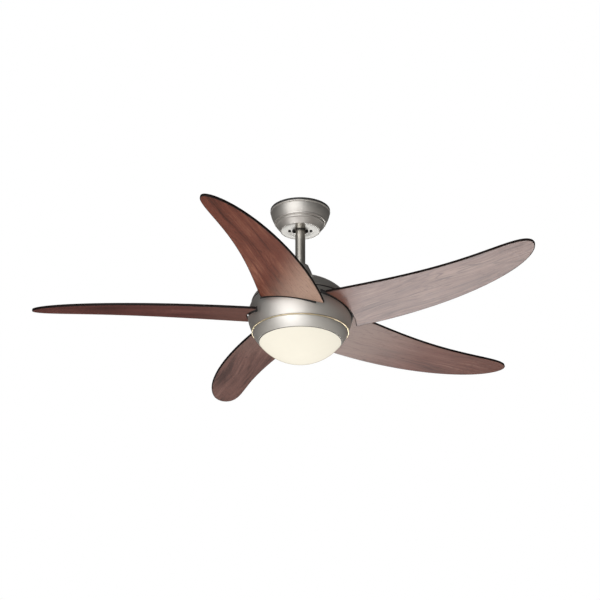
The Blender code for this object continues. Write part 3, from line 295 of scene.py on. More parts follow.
def moulded_skin_group():
    """Fine pebbled skin and slow shade changes of moulded or cast parts."""
    tree, given, result = new_group(
        "moulded skin",
        [("Position", "vector", None), ("Grain", "value", 1400.0), ("Depth", "value", 0.1),
         ("Roughness", "value", 0.5), ("Spread", "value", 0.1)],
        [("Shade", "value"), ("Roughness", "value"), ("Height", "value")],
    )
    pebbles = noise(tree, given["Position"], given["Grain"], 2.0, 0.5)
    flow = noise(tree, given["Position"], 55.0, 3.0, 0.55)
    flow_part = maths(tree, 'SUBTRACT', flow, 0.5)
    tree.links.new(maths(tree, 'MULTIPLY_ADD', flow_part, given["Depth"], 1.0), result["Shade"])
    tree.links.new(
        maths(tree, 'MULTIPLY_ADD', flow_part, given["Spread"], given["Roughness"]),
        result["Roughness"],
    )
    tree.links.new(pebbles, result["Height"])
    return tree


def walnut_group():
    """Walnut veneer along the blade: figure, fine streaks, pores and knots, with painted shade and
    reflection near the root.
    """
    tree, given, result = new_group(
        "walnut veneer",
        [("Along and across", "vector", None), ("Sheet", "value", 0.0),
         ("Dark", "colour", (0.10, 0.05, 0.04, 1)), ("Middle", "colour", (0.2, 0.1, 0.07, 1)),
         ("Light", "colour", (0.3, 0.17, 0.12, 1)), ("Root", "colour", (0.3, 0.2, 0.15, 1)),
         ("Root start", "value", 0.30), ("Root end", "value", 0.14), ("Slant", "value", 0.0),
         ("Figure", "value", 0.5), ("Knots", "value", 0.5), ("Lines", "value", 0.3),
         ("Flecks", "value", 0.3)],
        [("Colour", "colour"), ("Roughness", "value"), ("Height", "value")],
    )
    parts = put(tree, "ShaderNodeSeparateXYZ", {0: given["Along and across"]}).outputs
    along, across = parts[0], parts[1]

    def sheet_vector(along_scale, across_scale, source=None):
        return put(
            tree, "ShaderNodeCombineXYZ",
            {0: maths(tree, 'MULTIPLY', along, along_scale),
             1: maths(tree, 'MULTIPLY', source or across, across_scale),
             2: given["Sheet"]},
        ).outputs[0]

    bend = noise(tree, sheet_vector(3.2, 9.0), 1.0, 2.0, 0.5)
    swept = maths(tree, 'MULTIPLY_ADD', bend, 0.055, across)
    figure = noise(tree, sheet_vector(1.6, 30.0, swept), 1.0, 4.0, 0.62)
    streaks = noise(tree, sheet_vector(5.0, 210.0, swept), 1.0, 4.0, 0.65)
    fibres = noise(tree, sheet_vector(26.0, 1150.0, swept), 1.0, 2.0, 0.6)
    contour = maths(tree, 'PINGPONG', maths(tree, 'MULTIPLY', noise(
        tree, sheet_vector(2.4, 17.0, swept), 1.0, 2.0, 0.45), 15.0), 0.5)
    lines = maths(tree, 'SUBTRACT', 1.0, steps(tree, contour, 0.0, 0.16))
    lines = maths(tree, 'MULTIPLY', lines, steps(tree, streaks, 0.40, 0.60))
    flecks = steps(tree, noise(tree, sheet_vector(11.0, 230.0, swept), 1.0, 2.0, 0.6), 0.59, 0.70)
    pores = steps(tree, noise(tree, sheet_vector(62.0, 760.0, swept), 1.0, 1.0, 0.5), 0.655, 0.72)
    cloud = noise(tree, sheet_vector(6.0, 12.0), 1.0, 3.0, 0.5)
    spots = put(
        tree, "ShaderNodeTexVoronoi",
        {"Vector": sheet_vector(11.0, 26.0), "Scale": 1.0, "Randomness": 1.0},
    ).outputs["Distance"]
    knot = maths(tree, 'SUBTRACT', 1.0, steps(tree, spots, 0.03, 0.115))
    reach = maths(tree, 'MULTIPLY', given["Figure"], 1.25)
    tone = maths(tree, 'MULTIPLY', maths(tree, 'SUBTRACT', figure, 0.5), reach)
    for pattern, weight in ((streaks, 1.25), (fibres, 0.5), (cloud, 1.0)):
        part = maths(tree, 'MULTIPLY', maths(tree, 'SUBTRACT', pattern, 0.5), weight)
        tone = maths(tree, 'ADD', tone, part)
    tone = maths(tree, 'ADD', tone, 0.5, clamp=True)
    lower = mix_colour(tree, steps(tree, tone, 0.10, 0.50), given["Dark"], given["Middle"])
    body = mix_colour(tree, steps(tree, tone, 0.50, 0.92), lower, given["Light"])
    # Painted shade and reflection near the root: the Root colour, laid over the veneer by a slanted
    # mask, stands in for the housing's shadow and reflection on the blade.
    slanted = maths(tree, 'MULTIPLY_ADD', across, given["Slant"], along)
    root_light_and_shade = steps(tree, slanted, given["Root start"], given["Root end"])
    body = mix_colour(tree, maths(tree, 'MULTIPLY', root_light_and_shade, 0.9), body, given["Root"])
    marks = maths(tree, 'MAXIMUM', maths(tree, 'MULTIPLY', pores, 0.55),
                  maths(tree, 'MULTIPLY', knot, given["Knots"]))
    marks = maths(tree, 'MAXIMUM', marks, maths(tree, 'MULTIPLY', lines, given["Lines"]))
    marks = maths(tree, 'MAXIMUM', marks, maths(tree, 'MULTIPLY', flecks, given["Flecks"]))
    body = mix_colour(tree, marks, body, given["Dark"])
    tree.links.new(body, result["Colour"])
    rough = maths(tree, 'MULTIPLY_ADD', maths(tree, 'SUBTRACT', streaks, 0.5), 0.16, 0.36)
    tree.links.new(maths(tree, 'MULTIPLY_ADD', pores, 0.15, rough), result["Roughness"])
    sunk = maths(tree, 'MULTIPLY', pores, 0.6)
    tree.links.new(maths(tree, 'SUBTRACT', fibres, sunk), result["Height"])
    return tree


TURNED_GRAIN = turned_grain_group()
EDGE_WEAR = edge_wear_group()
MOULDED_SKIN = moulded_skin_group()
WALNUT = walnut_group()


# ----------------------------------------------------------------- finishes
def new_material(name):
    material = bpy.data.materials.new(name)
    material.use_nodes = True
    tree = material.node_tree
    return material, tree, tree.nodes["Principled BSDF"]


def place_group(tree, group, values):
    item = tree.nodes.new("ShaderNodeGroup")
    item.node_tree = group
    for key, value in values.items():
        socket = item.inputs[key]
        if isinstance(value, bpy.types.NodeSocket):
            tree.links.new(value, socket)
        else:
            socket.default_value = value
    return item.outputs


def add_bump(tree, shader, height, strength, distance):
    bump = put(
        tree, "ShaderNodeBump",
        {"Strength": strength, "Distance": distance, "Height": height},
    )
    tree.links.new(bump.outputs[0], shader.inputs["Normal"])


def turned_metal(name, colour, roughness, lines=900.0, depth=0.06, spread=0.06,
                 wear=0.35, relief=0.05):
    """Metal with its turning grain, handling marks and brighter edges."""
    material, tree, shader = new_material(name)
    place = tree.nodes.new("ShaderNodeTexCoord").outputs["Object"]
    grain = place_group(tree, TURNED_GRAIN, {
        "Position": place, "Lines": lines, "Depth": depth, "Roughness": roughness,
        "Spread": spread,
    })
    edge = place_group(tree, EDGE_WEAR, {"Position": place})["Mask"]
    bright = tuple(min(1.0, channel * 1.25 + 0.03) for channel in colour)
    tinted = scale_colour(tree, (*colour, ), grain["Shade"])
    tinted = mix_colour(tree, maths(tree, 'MULTIPLY', edge, wear), tinted, (*bright, 1))
    tree.links.new(tinted, shader.inputs["Base Color"])
    tree.links.new(grain["Roughness"], shader.inputs["Roughness"])
    shader.inputs["Metallic"].default_value = 1.0
    add_bump(tree, shader, grain["Height"], relief, 0.0002)
    return material


def moulded(name, colour, roughness, metallic=0.0, grain=1400.0, depth=0.12, spread=0.12,
            relief=0.12, gloss=0.5):
    """Moulded plastic, rubber or a casting with a pebbled skin."""
    material, tree, shader = new_material(name)
    place = tree.nodes.new("ShaderNodeTexCoord").outputs["Object"]
    skin = place_group(tree, MOULDED_SKIN, {
        "Position": place, "Grain": grain, "Depth": depth, "Roughness": roughness,
        "Spread": spread,
    })
    edge = place_group(tree, EDGE_WEAR, {"Position": place})["Mask"]
    bright = tuple(min(1.0, channel * 1.4 + 0.02) for channel in colour)
    tinted = scale_colour(tree, (*colour, ), skin["Shade"])
    tinted = mix_colour(tree, maths(tree, 'MULTIPLY', edge, 0.3), tinted, (*bright, 1))
    tree.links.new(tinted, shader.inputs["Base Color"])
    tree.links.new(skin["Roughness"], shader.inputs["Roughness"])
    shader.inputs["Metallic"].default_value = metallic
    shader.inputs["Specular IOR Level"].default_value = gloss
    add_bump(tree, shader, skin["Height"], relief, 0.0003)
    return material


def walnut(name, sheet, dark, middle, light, root, root_start=0.30, root_end=0.14,
           slant=0.0, figure=0.9, knots=0.6, lines=0.4, flecks=0.4, lacquer=0.5):
    """One blade's veneer, cut from its own sheet, under satin lacquer, with painted shade and
    reflection in its root colour.
    """
    material, tree, shader = new_material(name)
    along = put(tree, "ShaderNodeUVMap", uv_map="blade")
    veneer = place_group(tree, WALNUT, {
        "Along and across": along.outputs[0], "Sheet": sheet, "Dark": (*dark, 1),
        "Middle": (*middle, 1), "Light": (*light, 1), "Root": (*root, 1),
        "Root start": root_start, "Root end": root_end, "Slant": slant, "Figure": figure,
        "Knots": knots, "Lines": lines, "Flecks": flecks,
    })
    tree.links.new(veneer["Colour"], shader.inputs["Base Color"])
    tree.links.new(veneer["Roughness"], shader.inputs["Roughness"])
    shader.inputs["Specular IOR Level"].default_value = lacquer
    add_bump(tree, shader, veneer["Height"], 0.10, 0.0002)
    return material


def opal(name, colour, glow, strength, roughness):
    """Opal glass, lit from inside, with painted shade on its glow towards its rim."""
    material, tree, shader = new_material(name)
    place = tree.nodes.new("ShaderNodeTexCoord").outputs["Object"]
    skin = place_group(tree, MOULDED_SKIN, {
        "Position": place, "Grain": 60.0, "Depth": 0.03, "Roughness": roughness,
        "Spread": 0.04,
    })
    facing = put(tree, "ShaderNodeLayerWeight", {"Blend": 0.5}).outputs["Facing"]
    # Painted shade: the glow is darkened where the glass is seen edge on, towards its rim.
    rim = steps(tree, facing, 0.80, 0.97)
    lit = scale_colour(tree, (*glow, ), skin["Shade"])
    lit = mix_colour(tree, rim, lit, (glow[0] * 0.42, glow[1] * 0.38, glow[2] * 0.32, 1))
    tree.links.new(lit, shader.inputs["Emission Color"])
    tree.links.new(scale_colour(tree, (*colour, ), skin["Shade"]), shader.inputs["Base Color"])
    tree.links.new(skin["Roughness"], shader.inputs["Roughness"])
    shader.inputs["Emission Strength"].default_value = strength
    shader.inputs["Specular IOR Level"].default_value = 0.12
    return material


NICKEL = turned_metal("satin nickel", (0.64, 0.615, 0.58), 0.5)
NICKEL_ROD = turned_metal("satin nickel tube", (0.54, 0.515, 0.465), 0.42)
NICKEL_PLATE = turned_metal("polished nickel plate", (0.74, 0.73, 0.70), 0.16, depth=0.05)
NICKEL_PRESSED = turned_metal("nickel plated pressing", (0.56, 0.54, 0.51), 0.33, lines=500.0)
ZINC = turned_metal("zinc plated steel", (0.55, 0.55, 0.56), 0.36, lines=350.0, depth=0.16)
DARK_STEEL = moulded("black oxide steel", (0.012, 0.011, 0.010), 0.5, grain=900.0, gloss=0.2)
LAMINATION = turned_metal("stacked laminations", (0.20, 0.20, 0.21), 0.5, lines=1600.0,
                          depth=0.6, relief=0.4)
CASTING = moulded("die cast alloy", (0.33, 0.33, 0.34), 0.52, metallic=1.0, grain=900.0,
                  relief=0.3)
RUBBER = moulded("black rubber", (0.022, 0.021, 0.020), 0.55)
BLACK_PLASTIC = moulded("moulded black plastic", (0.03, 0.03, 0.03), 0.45)
NYLON = moulded("moulded grey nylon", (0.44, 0.42, 0.38), 0.36)
WHITE_PLASTIC = moulded("moulded white plastic", (0.80, 0.79, 0.75), 0.35, relief=0.05)
COPPER = turned_metal("enamelled copper wire", (0.60, 0.24, 0.11), 0.3, lines=2600.0,
                      depth=0.5, relief=0.5)
GOLD = turned_metal("pale gold plate", (0.98, 0.86, 0.60), 0.45, depth=0.04)
OPAL = opal("opal glass", (0.22, 0.21, 0.18), (0.94, 0.88, 0.745), 0.69, 0.6)
BULB_GLASS = opal("frosted bulb", (0.85, 0.83, 0.78), (1.0, 0.93, 0.80), 0.6, 0.4)
BLADE_EDGE = moulded("dark stained blade edge", (0.006, 0.003, 0.0025), 0.55, grain=700.0,
                     gloss=0.12)
# The five blades are one walnut: their different tones are partly their own veneer and partly
# painted light and shade.
VENEERS = [
    walnut("walnut blade 1", 3.7, (0.070, 0.038, 0.032), (0.165, 0.100, 0.085),
           (0.240, 0.163, 0.140), (0.110, 0.036, 0.022), root_start=0.20, root_end=0.13,
           slant=0.8, lines=0.75, flecks=0.8, lacquer=0.42),
    walnut("walnut blade 2", 11.2, (0.052, 0.016, 0.011), (0.112, 0.041, 0.029),
           (0.186, 0.088, 0.066), (0.215, 0.150, 0.128), root_start=0.45, root_end=0.16,
           lacquer=0.22),
    walnut("walnut blade 3", 35.1, (0.046, 0.018, 0.014), (0.120, 0.054, 0.043),
           (0.186, 0.098, 0.080), (0.140, 0.076, 0.060), lacquer=0.15),
    walnut("walnut blade 4", 27.4, (0.036, 0.009, 0.006), (0.086, 0.024, 0.019),
           (0.148, 0.056, 0.044), (0.115, 0.050, 0.038), lacquer=0.1),
    walnut("walnut blade 5", 19.9, (0.042, 0.010, 0.005), (0.116, 0.031, 0.018),
           (0.218, 0.084, 0.050), (0.330, 0.212, 0.158), root_start=0.24, root_end=0.04,
           slant=-1.6, lacquer=0.12),
]


# ---------------------------------------------------------------- mesh tools
def cubic(points, t):
    """A cubic Bezier value or point at t."""
    first = points[0]
    s = 1 - t
    weights = (s * s * s, 3 * s * s * t, 3 * s * t * t, t * t * t)
    if isinstance(first, tuple):
        return tuple(sum(w * p[i] for w, p in zip(weights, points)) for i in range(len(first)))
    return sum(w * p for w, p in zip(weights, points))


def curve(points, count):
    return [cubic(points, i / count) for i in range(count + 1)]


def offset(outline, distance):
    """The outline moved towards the axis side, square to itself."""
    moved = []
    for i, (radius, height) in enumerate(outline):
        before = outline[max(i - 1, 0)]
        after = outline[min(i + 1, len(outline) - 1)]
        run = Vector((after[0] - before[0], after[1] - before[1])).normalized()
        moved.append((radius + run.y * distance, height - run.x * distance))
    return moved


def grooved(outline, rings):
    """The outline with rings of (height, half width, depth) pressed into it."""
    shaped = []
    pressed = offset(outline, 1.0)
    for (radius, height), (in_radius, in_height) in zip(outline, pressed):
        depth = 0.0
        for ring_height, half, ring_depth in rings:
            share = (height - ring_height) / half
            if abs(share) < 1:
                depth += ring_depth * (1 - share * share) ** 2
        shaped.append((
            radius + (in_radius - radius) * depth, height + (in_height - height) * depth,
        ))
    return shaped


def arc(centre, radius, start, end, count=6):
    """Points on a circle in the section, angles in degrees from the radius axis."""
    return [
        (centre[0] + radius * cos(radians(start + (end - start) * i / count)),
         centre[1] + radius * sin(radians(start + (end - start) * i / count)))
        for i in range(count + 1)
    ]


def turned(section, facets, closed=True):
    """Turn a section about Z; an open section starts and ends on the axis."""
    bm = bmesh.new()
    verts = [bm.verts.new((radius, 0, height)) for radius, height in section]
    edges = [bm.edges.new(pair) for pair in zip(verts, verts[1:])]
    if closed:
        edges.append(bm.edges.new((verts[-1], verts[0])))
    bmesh.ops.spin(
        bm, geom=verts + edges, cent=(0, 0, 0), axis=(0, 0, 1), angle=2 * pi,
        steps=facets, use_merge=True,
    )
    bmesh.ops.remove_doubles(bm, verts=bm.verts, dist=1e-6)
    bmesh.ops.recalc_face_normals(bm, faces=bm.faces)
    return bm


def add_block(bm, start, end, place=Matrix()):
    middle = [(a + b) / 2 for a, b in zip(start, end)]
    size = [b - a for a, b in zip(start, end)]
    shape = Matrix.Translation(middle) @ Matrix.Diagonal((*size, 1))
    bmesh.ops.create_cube(bm, size=1, matrix=place @ shape)


def make_object(name, bm, materials, sharp=35):
    mesh = bpy.data.meshes.new(name)
    bm.to_mesh(mesh)
    bm.free()
    mesh.shade_smooth()
    mesh.set_sharp_from_angle(angle=radians(sharp))
    item = bpy.data.objects.new(name, mesh)
    bpy.context.collection.objects.link(item)
    for material in materials:
        mesh.materials.append(material)
    return item


def cut(item, bm, sharp=35):
    """Cut the bodies of a bmesh out of an object."""
    tool = make_object("cutter", bm, [])
    change = item.modifiers.new("cut", 'BOOLEAN')
    change.operation = 'DIFFERENCE'
    change.solver = 'EXACT'
    change.object = tool
    seen = item.evaluated_get(bpy.context.evaluated_depsgraph_get())
    result = bpy.data.meshes.new_from_object(seen)
    item.modifiers.clear()
    old = item.data
    item.data = result
    result.name = item.name
    result.shade_smooth()
    result.set_sharp_from_angle(angle=radians(sharp))
    bpy.data.meshes.remove(old)
    blank = tool.data
    bpy.data.objects.remove(tool, do_unlink=True)
    bpy.data.meshes.remove(blank)


def declare(item, body, nodes):
    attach(item, body)
    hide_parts(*nodes)
    return item


# ------------------------------------------------------------- ceiling mount
def make_canopy():
    base_radius = PLATE_RADIUS + GAP + LIP_WIDTH
    outline = curve((
        (CANOPY_RADIUS, GASKET_FOOT - GAP),
        (CANOPY_RADIUS * 0.960, BASE_Z * 0.544),
        (base_radius * 1.138, BASE_Z * 0.778),
        (base_radius, BASE_Z),
    ), 150)
    outer = grooved(outline, CANOPY_RINGS)
    inner = offset(outline[::6], WALL)
    lip = base_radius - LIP_WIDTH
    section = outer[:-1]
    section += arc((base_radius - SEAM_EDGE, BASE_Z + SEAM_EDGE), SEAM_EDGE, -20, -90)
    section += [(lip, BASE_Z), (lip, BASE_Z + LIP_HEIGHT), (lip - LEDGE_WIDTH, BASE_Z + LIP_HEIGHT),
                (lip - LEDGE_WIDTH, BASE_Z + LEDGE_TOP)]
    section += [point for point in inner[::-1] if point[1] > BASE_Z + LEDGE_TOP]
    canopy = make_object("canopy_bowl", turned(section, FINE), [NICKEL])
    declare(canopy, "mount", ["canopy"])

    half = GASKET_HALF_WIDTH
    ring = arc((CANOPY_RADIUS - SEAM_EDGE, -SEAM_EDGE), SEAM_EDGE, 90, 0)
    ring += arc((CANOPY_RADIUS - SEAM_EDGE, GASKET_FOOT + SEAM_EDGE), SEAM_EDGE, 0, -90)
    ring += [(CANOPY_RADIUS - 2 * half, GASKET_FOOT), (CANOPY_RADIUS - 2 * half, 0)]
    gasket = make_object("ceiling_gasket", turned(ring, FINE), [RUBBER])
    declare(gasket, "mount", ["canopy_gasket"])


def make_base_plate():
    hole = PLATE_HOLE_RADIUS
    roll = (PLATE_TOP - PLATE_FOOT) / 2
    middle = (PLATE_TOP + PLATE_FOOT) / 2
    section = arc((PLATE_RADIUS - SEAM_EDGE, PLATE_FOOT + SEAM_EDGE), SEAM_EDGE, 0, -90)
    section += arc((hole + roll, middle), roll, -90, -270)
    section += [(PLATE_RADIUS, PLATE_TOP)]
    plate = make_object("base_plate_disc", turned(section, FINE), [NICKEL_PLATE])
    spots = [(low(name, 0) + high(name, 0)) / 2 for name in ("canopy_screw_1", "canopy_screw_2")]
    holes = bmesh.new()
    for x in spots:
        bmesh.ops.create_cone(
            holes, cap_ends=True, segments=SMALL, radius1=SCREW_RADIUS + GAP,
            radius2=SCREW_RADIUS + GAP, depth=0.01, matrix=Matrix.Translation((x, 0, middle)),
        )
    cut(plate, holes)
    declare(plate, "mount", ["canopy_base_plate"])

    head = high("canopy_screw_1", 0) - spots[0]
    seat = PLATE_FOOT - GAP
    foot = low("canopy_screw_1")
    top = high("canopy_screw_1")
    for number, x in enumerate(spots, start=1):
        section = [(0, top), (SCREW_RADIUS * 0.7, top), (SCREW_RADIUS, top - COVER_SCREW_TAPER),
                   (SCREW_RADIUS, seat), (head - HEAD_EDGE, seat)]
        section += curve((
            (head, seat - HEAD_EDGE), (head, foot + 0.0002), (head * 0.6, foot), (0, foot),
        ), 10)
        bm = turned(section, SMALL, closed=False)
        bmesh.ops.translate(bm, verts=bm.verts, vec=(x, 0, 0))
        screw = make_object("cover_screw_%d" % number, bm, [DARK_STEEL])
        cross_recess(screw, Matrix.Translation((x, 0, foot)), head, RECESS_DEPTH)
        declare(screw, "mount", ["canopy_screw_%d" % number])


def cross_recess(screw, place, head, depth):
    """Driver cross in a head whose top lies at the place's origin."""
    reach, half = head * 0.55, head * 0.11
    for x, y, deep in ((reach, half, depth), (half, reach, depth * 1.02)):
        bm = bmesh.new()
        add_block(bm, (-x, -y, -deep), (x, y, deep), place)
        bmesh.ops.recalc_face_normals(bm, faces=bm.faces)
        cut(screw, bm)


# ------------------------------------------------------- hanger ball and rod
def make_hanger():
    bore = ROD_RADIUS + GAP
    start = asin(bore / BALL_RADIUS)
    section = [
        (BALL_RADIUS * sin(start + (pi - 2 * start) * i / 40),
         BALL_Z + BALL_RADIUS * cos(start + (pi - 2 * start) * i / 40))
        for i in range(41)
    ]
    ball = make_object("nylon_ball", turned(section, ROUND), [NYLON])
    declare(ball, "hanging", ["hanger_ball"])

    wall, edge = ROD_WALL, ROD_EDGE
    section = [(ROD_RADIUS - edge, ROD_TOP), (ROD_RADIUS, ROD_TOP - edge)]
    section += [(ROD_RADIUS, ROD_TOP + (ROD_FOOT - ROD_TOP) * i / 12) for i in range(1, 12)]
    section += [(ROD_RADIUS, ROD_FOOT + edge), (ROD_RADIUS - edge, ROD_FOOT),
                (ROD_RADIUS - wall, ROD_FOOT), (ROD_RADIUS - wall, ROD_TOP)]
    rod = make_object("downrod_tube", turned(section, ROUND), [NICKEL_ROD])
    declare(rod, "hanging", ["downrod"])

    height = COVER_TOP - COVER_FOOT
    neck = COVER_NECK_RADIUS
    outline = curve((
        (neck, COVER_TOP - SEAM_EDGE),
        (neck + 0.0035, COVER_TOP - height * 0.30),
        (COVER_RADIUS - 0.0015, COVER_TOP - height * 0.45),
        (COVER_RADIUS, COVER_FOOT + SEAM_EDGE),
    ), 60)
    inner = offset(outline[::4], WALL)
    section = arc((neck - SEAM_EDGE, COVER_TOP - SEAM_EDGE), SEAM_EDGE, 90, 0, 4)[:-1] + outline
    section += arc((COVER_RADIUS - SEAM_EDGE, COVER_FOOT + SEAM_EDGE), SEAM_EDGE, 0, -90, 4)[1:]
    section += [(COVER_RADIUS - WALL, COVER_FOOT)]
    section += [point for point in inner[::-1] if COVER_FOOT + 0.001 < point[1] < COVER_TOP - 0.002]
    section += [(neck - WALL, COVER_TOP - WALL), (ROD_RADIUS + GAP, COVER_TOP - WALL),
                (ROD_RADIUS + GAP, COVER_TOP)]
    cover = make_object("coupling_bell", turned(section, ROUND), [NICKEL])
    declare(cover, "hanging", ["coupling_cover"])


# ------------------------------------------------------------------- housing
def add_painted_slot_shade(shell, wall):
    """Painted shade: a black band close inside the shell's wall, behind the blade slots, where
    there is only shade.
    """
    foot, top = BLADE_Z - SLOT_SHADE_BELOW, BLADE_Z + SLOT_SHADE_ABOVE
    band = [point for point in wall if foot < point[1] < top]
    near, far = SLOT_SHADE_FACES
    shade_sheet = turned(offset(band, near) + offset(band, far)[::-1], FINE)
    for face in shade_sheet.faces:
        face.material_index = 1
    band = bpy.data.meshes.new("shade_sheet")
    shade_sheet.to_mesh(band)
    shade_sheet.free()
    bm = bmesh.new()
    bm.from_mesh(shell.data)
    bm.from_mesh(band)
    bm.to_mesh(shell.data)
    bm.free()
    bpy.data.meshes.remove(band)
    shell.data.materials.append(RUBBER)


def paint_shade_on_slot_walls(shell):
    """Painted shade: black on the sheet's cut edges round the blade slots, where shade falls in the
    slots.
    """
    walls = ((1, SLOT_ENDS[0]), (1, SLOT_ENDS[1]),
             (2, -BLADE_THICK / 2 - SLOT_UNDER), (2, BLADE_THICK / 2 + SLOT_OVER))
    for angle in blade_angles():
        back = (around(angle) @ BLADE_PLACE).inverted()
        for face in shell.data.polygons:
            corners = [back @ shell.data.vertices[i].co for i in face.vertices]
            if min(corner.x for corner in corners) < 0:
                continue
            for axis, level in walls:
                if all(abs(corner[axis] - level) < 1e-5 for corner in corners):
                    face.material_index = 1


def make_housing():
    neck = DOME_NECK_RADIUS
    spread = SEAM_RADIUS - neck
    height = DOME_TOP - DOME_FOOT
    outline = curve((
        (neck, DOME_TOP),
        (neck + 0.49 * spread, DOME_TOP - 0.126 * height),
        (neck + 0.925 * spread, DOME_TOP - 0.59 * height),
        (SEAM_RADIUS, DOME_FOOT + SEAM_EDGE),
    ), 80)
    inner = offset(outline[::5], WALL)
    bore = DOME_BORE
    section = [(bore, DOME_TOP)] + outline
    section += arc((SEAM_RADIUS - SEAM_EDGE, DOME_FOOT + SEAM_EDGE), SEAM_EDGE, 0, -90, 4)[1:]
    section += [(SEAM_RADIUS - WALL, DOME_FOOT)]
    section += inner[-2:0:-1] + [(neck, DOME_TOP - WALL), (bore, DOME_TOP - WALL)]
    dome = make_object("upper_housing_dome", turned(section, FINE), [NICKEL])
    declare(dome, "hanging", ["upper_housing"])

    height = SHELL_TOP - SHELL_FOOT
    outline = curve((
        (SEAM_RADIUS, SHELL_TOP - SEAM_EDGE),
        (SEAM_RADIUS + (SHELL_RADIUS - SEAM_RADIUS) * 1.39, SHELL_TOP - height * 0.40),
        (SHELL_FOOT_RADIUS + (SHELL_RADIUS - SHELL_FOOT_RADIUS) * 1.25,
         SHELL_FOOT + height * 0.447),
        (SHELL_FOOT_RADIUS, SHELL_FOOT + SEAM_EDGE),
    ), 80)
    inner = offset(outline[::4], WALL)
    web_top = BLADE_Z - WEB_LEVEL
    web_foot = web_top - WEB_THICK
    above = [point for point in inner if point[1] > web_top + 0.001]
    below = [point for point in inner if point[1] < web_foot - 0.001]
    join = (above[-1][0] + below[0][0]) / 2
    section = arc((SEAM_RADIUS - SEAM_EDGE, SHELL_TOP - SEAM_EDGE), SEAM_EDGE, 90, 0, 4)[:-1]
    section += outline
    rim = (SHELL_FOOT_RADIUS - SEAM_EDGE, SHELL_FOOT + SEAM_EDGE)
    section += arc(rim, SEAM_EDGE, 0, -90, 4)[1:]
    section += [(SHELL_FOOT_RADIUS - WALL, SHELL_FOOT)] + below[-2::-1]
    section += [(join, web_foot), (WEB_HOLE_RADIUS, web_foot), (WEB_HOLE_RADIUS, web_top),
                (join, web_top)]
    section += above[:0:-1] + [(SEAM_RADIUS - WALL, SHELL_TOP)]
    shell = make_object("spun_shell", turned(section, FINE), [NICKEL])
    slots = bmesh.new()
    for angle in blade_angles():
        add_block(
            slots,
            (SLOT_INNER, SLOT_ENDS[0], -BLADE_THICK / 2 - SLOT_UNDER),
            (SHELL_RADIUS * 1.15, SLOT_ENDS[1], BLADE_THICK / 2 + SLOT_OVER),
            around(angle) @ BLADE_PLACE,
        )
    cut(shell, slots)
    paint_shade_on_slot_walls(shell)
    add_painted_slot_shade(shell, offset(outline, WALL))
    declare(shell, "rotor", ["turning_shell"])


# -------------------------------------------------------------------- blades
def blade_edge(s, side):
    """Point (along, across) of the blade's edge at share s of its length."""
    along = BLADE_CURVE_START + s * (BLADE_TIP_RADIUS - BLADE_CURVE_START)
    roundness = sqrt(1 - min(1, max(0, s) ** BLADE_TIP_POWER))
    half = cubic(BLADE_HALF_WIDTH, s) * roundness
    return along, cubic(BLADE_CENTRE, s) + side * half


def root_share(side, centre):
    """Share of the length where an edge meets the root cut."""
    start, end = -0.3, 0.5
    for _ in range(40):
        middle = (start + end) / 2
        along, across = blade_edge(middle, side)
        if sqrt((along - centre) ** 2 + across ** 2) < BLADE_ROOT_ARC:
            start = middle
        else:
            end = middle
    return (start + end) / 2


def blade_outline(count=56):
    """Counterclockwise outline, one edge, the other edge, then the root cut."""
    centre = SHELL_RADIUS + BLADE_ROOT_GAP - BLADE_ROOT_ARC
    edges = {}
    for side in (-1, 1):
        first = root_share(side, centre)
        edges[side] = [
            blade_edge(first + (1 - (1 - i / count) ** 2.2) * (1 - first), side)
            for i in range(count + 1)
        ]
    first = atan2(edges[1][0][1], edges[1][0][0] - centre)
    last = atan2(edges[-1][0][1], edges[-1][0][0] - centre)
    root = []
    for i in range(1, 16):
        angle = first + (last - first) * i / 16
        root.append((centre + BLADE_ROOT_ARC * cos(angle), BLADE_ROOT_ARC * sin(angle)))
    return edges[-1][:-1] + edges[1][::-1] + root


def make_blade(number, angle):
    bm = bmesh.new()
    outline = blade_outline()
    verts = [bm.verts.new((*point, -BLADE_THICK / 2)) for point in outline]
    face = bm.faces.new(verts)
    corners = [verts[0], verts[len(verts) - 16]]
    bmesh.ops.bevel(
        bm, geom=corners, offset=BLADE_CORNER, segments=6, affect='VERTICES', profile=0.5,
        material=-1,
    )
    face = bm.faces[:][0]
    raised = bmesh.ops.extrude_face_region(bm, geom=[face])["geom"]
    lifted = [part for part in raised if isinstance(part, bmesh.types.BMVert)]
    bmesh.ops.translate(bm, verts=lifted, vec=(0, 0, BLADE_THICK))
    bmesh.ops.recalc_face_normals(bm, faces=bm.faces)
    rims = [
        edge for edge in bm.edges
        if abs(edge.verts[0].co.z - edge.verts[1].co.z) < BLADE_THICK / 2
    ]
    bmesh.ops.bevel(
        bm, geom=rims, offset=BLADE_EDGE_ROUND, segments=3, affect='EDGES', profile=0.5,
        material=-1,
    )
    bm.normal_update()
    broad = [face for face in bm.faces if abs(face.normal.z) > 0.95]
    bmesh.ops.inset_region(bm, faces=broad, thickness=BLADE_BORDER, use_boundary=True)
    layer = bm.loops.layers.uv.new("blade")
    for face in bm.faces:
        face.material_index = 0 if face in broad else 1
        for loop in face.loops:
            loop[layer].uv = loop.vert.co.xy
    bmesh.ops.transform(bm, verts=bm.verts, matrix=around(angle) @ BLADE_PLACE)
    blade = make_object("walnut_blade_%d" % number, bm, [VENEERS[number - 1], BLADE_EDGE], 50)
    declare(blade, "rotor", ["blade_%d" % number])


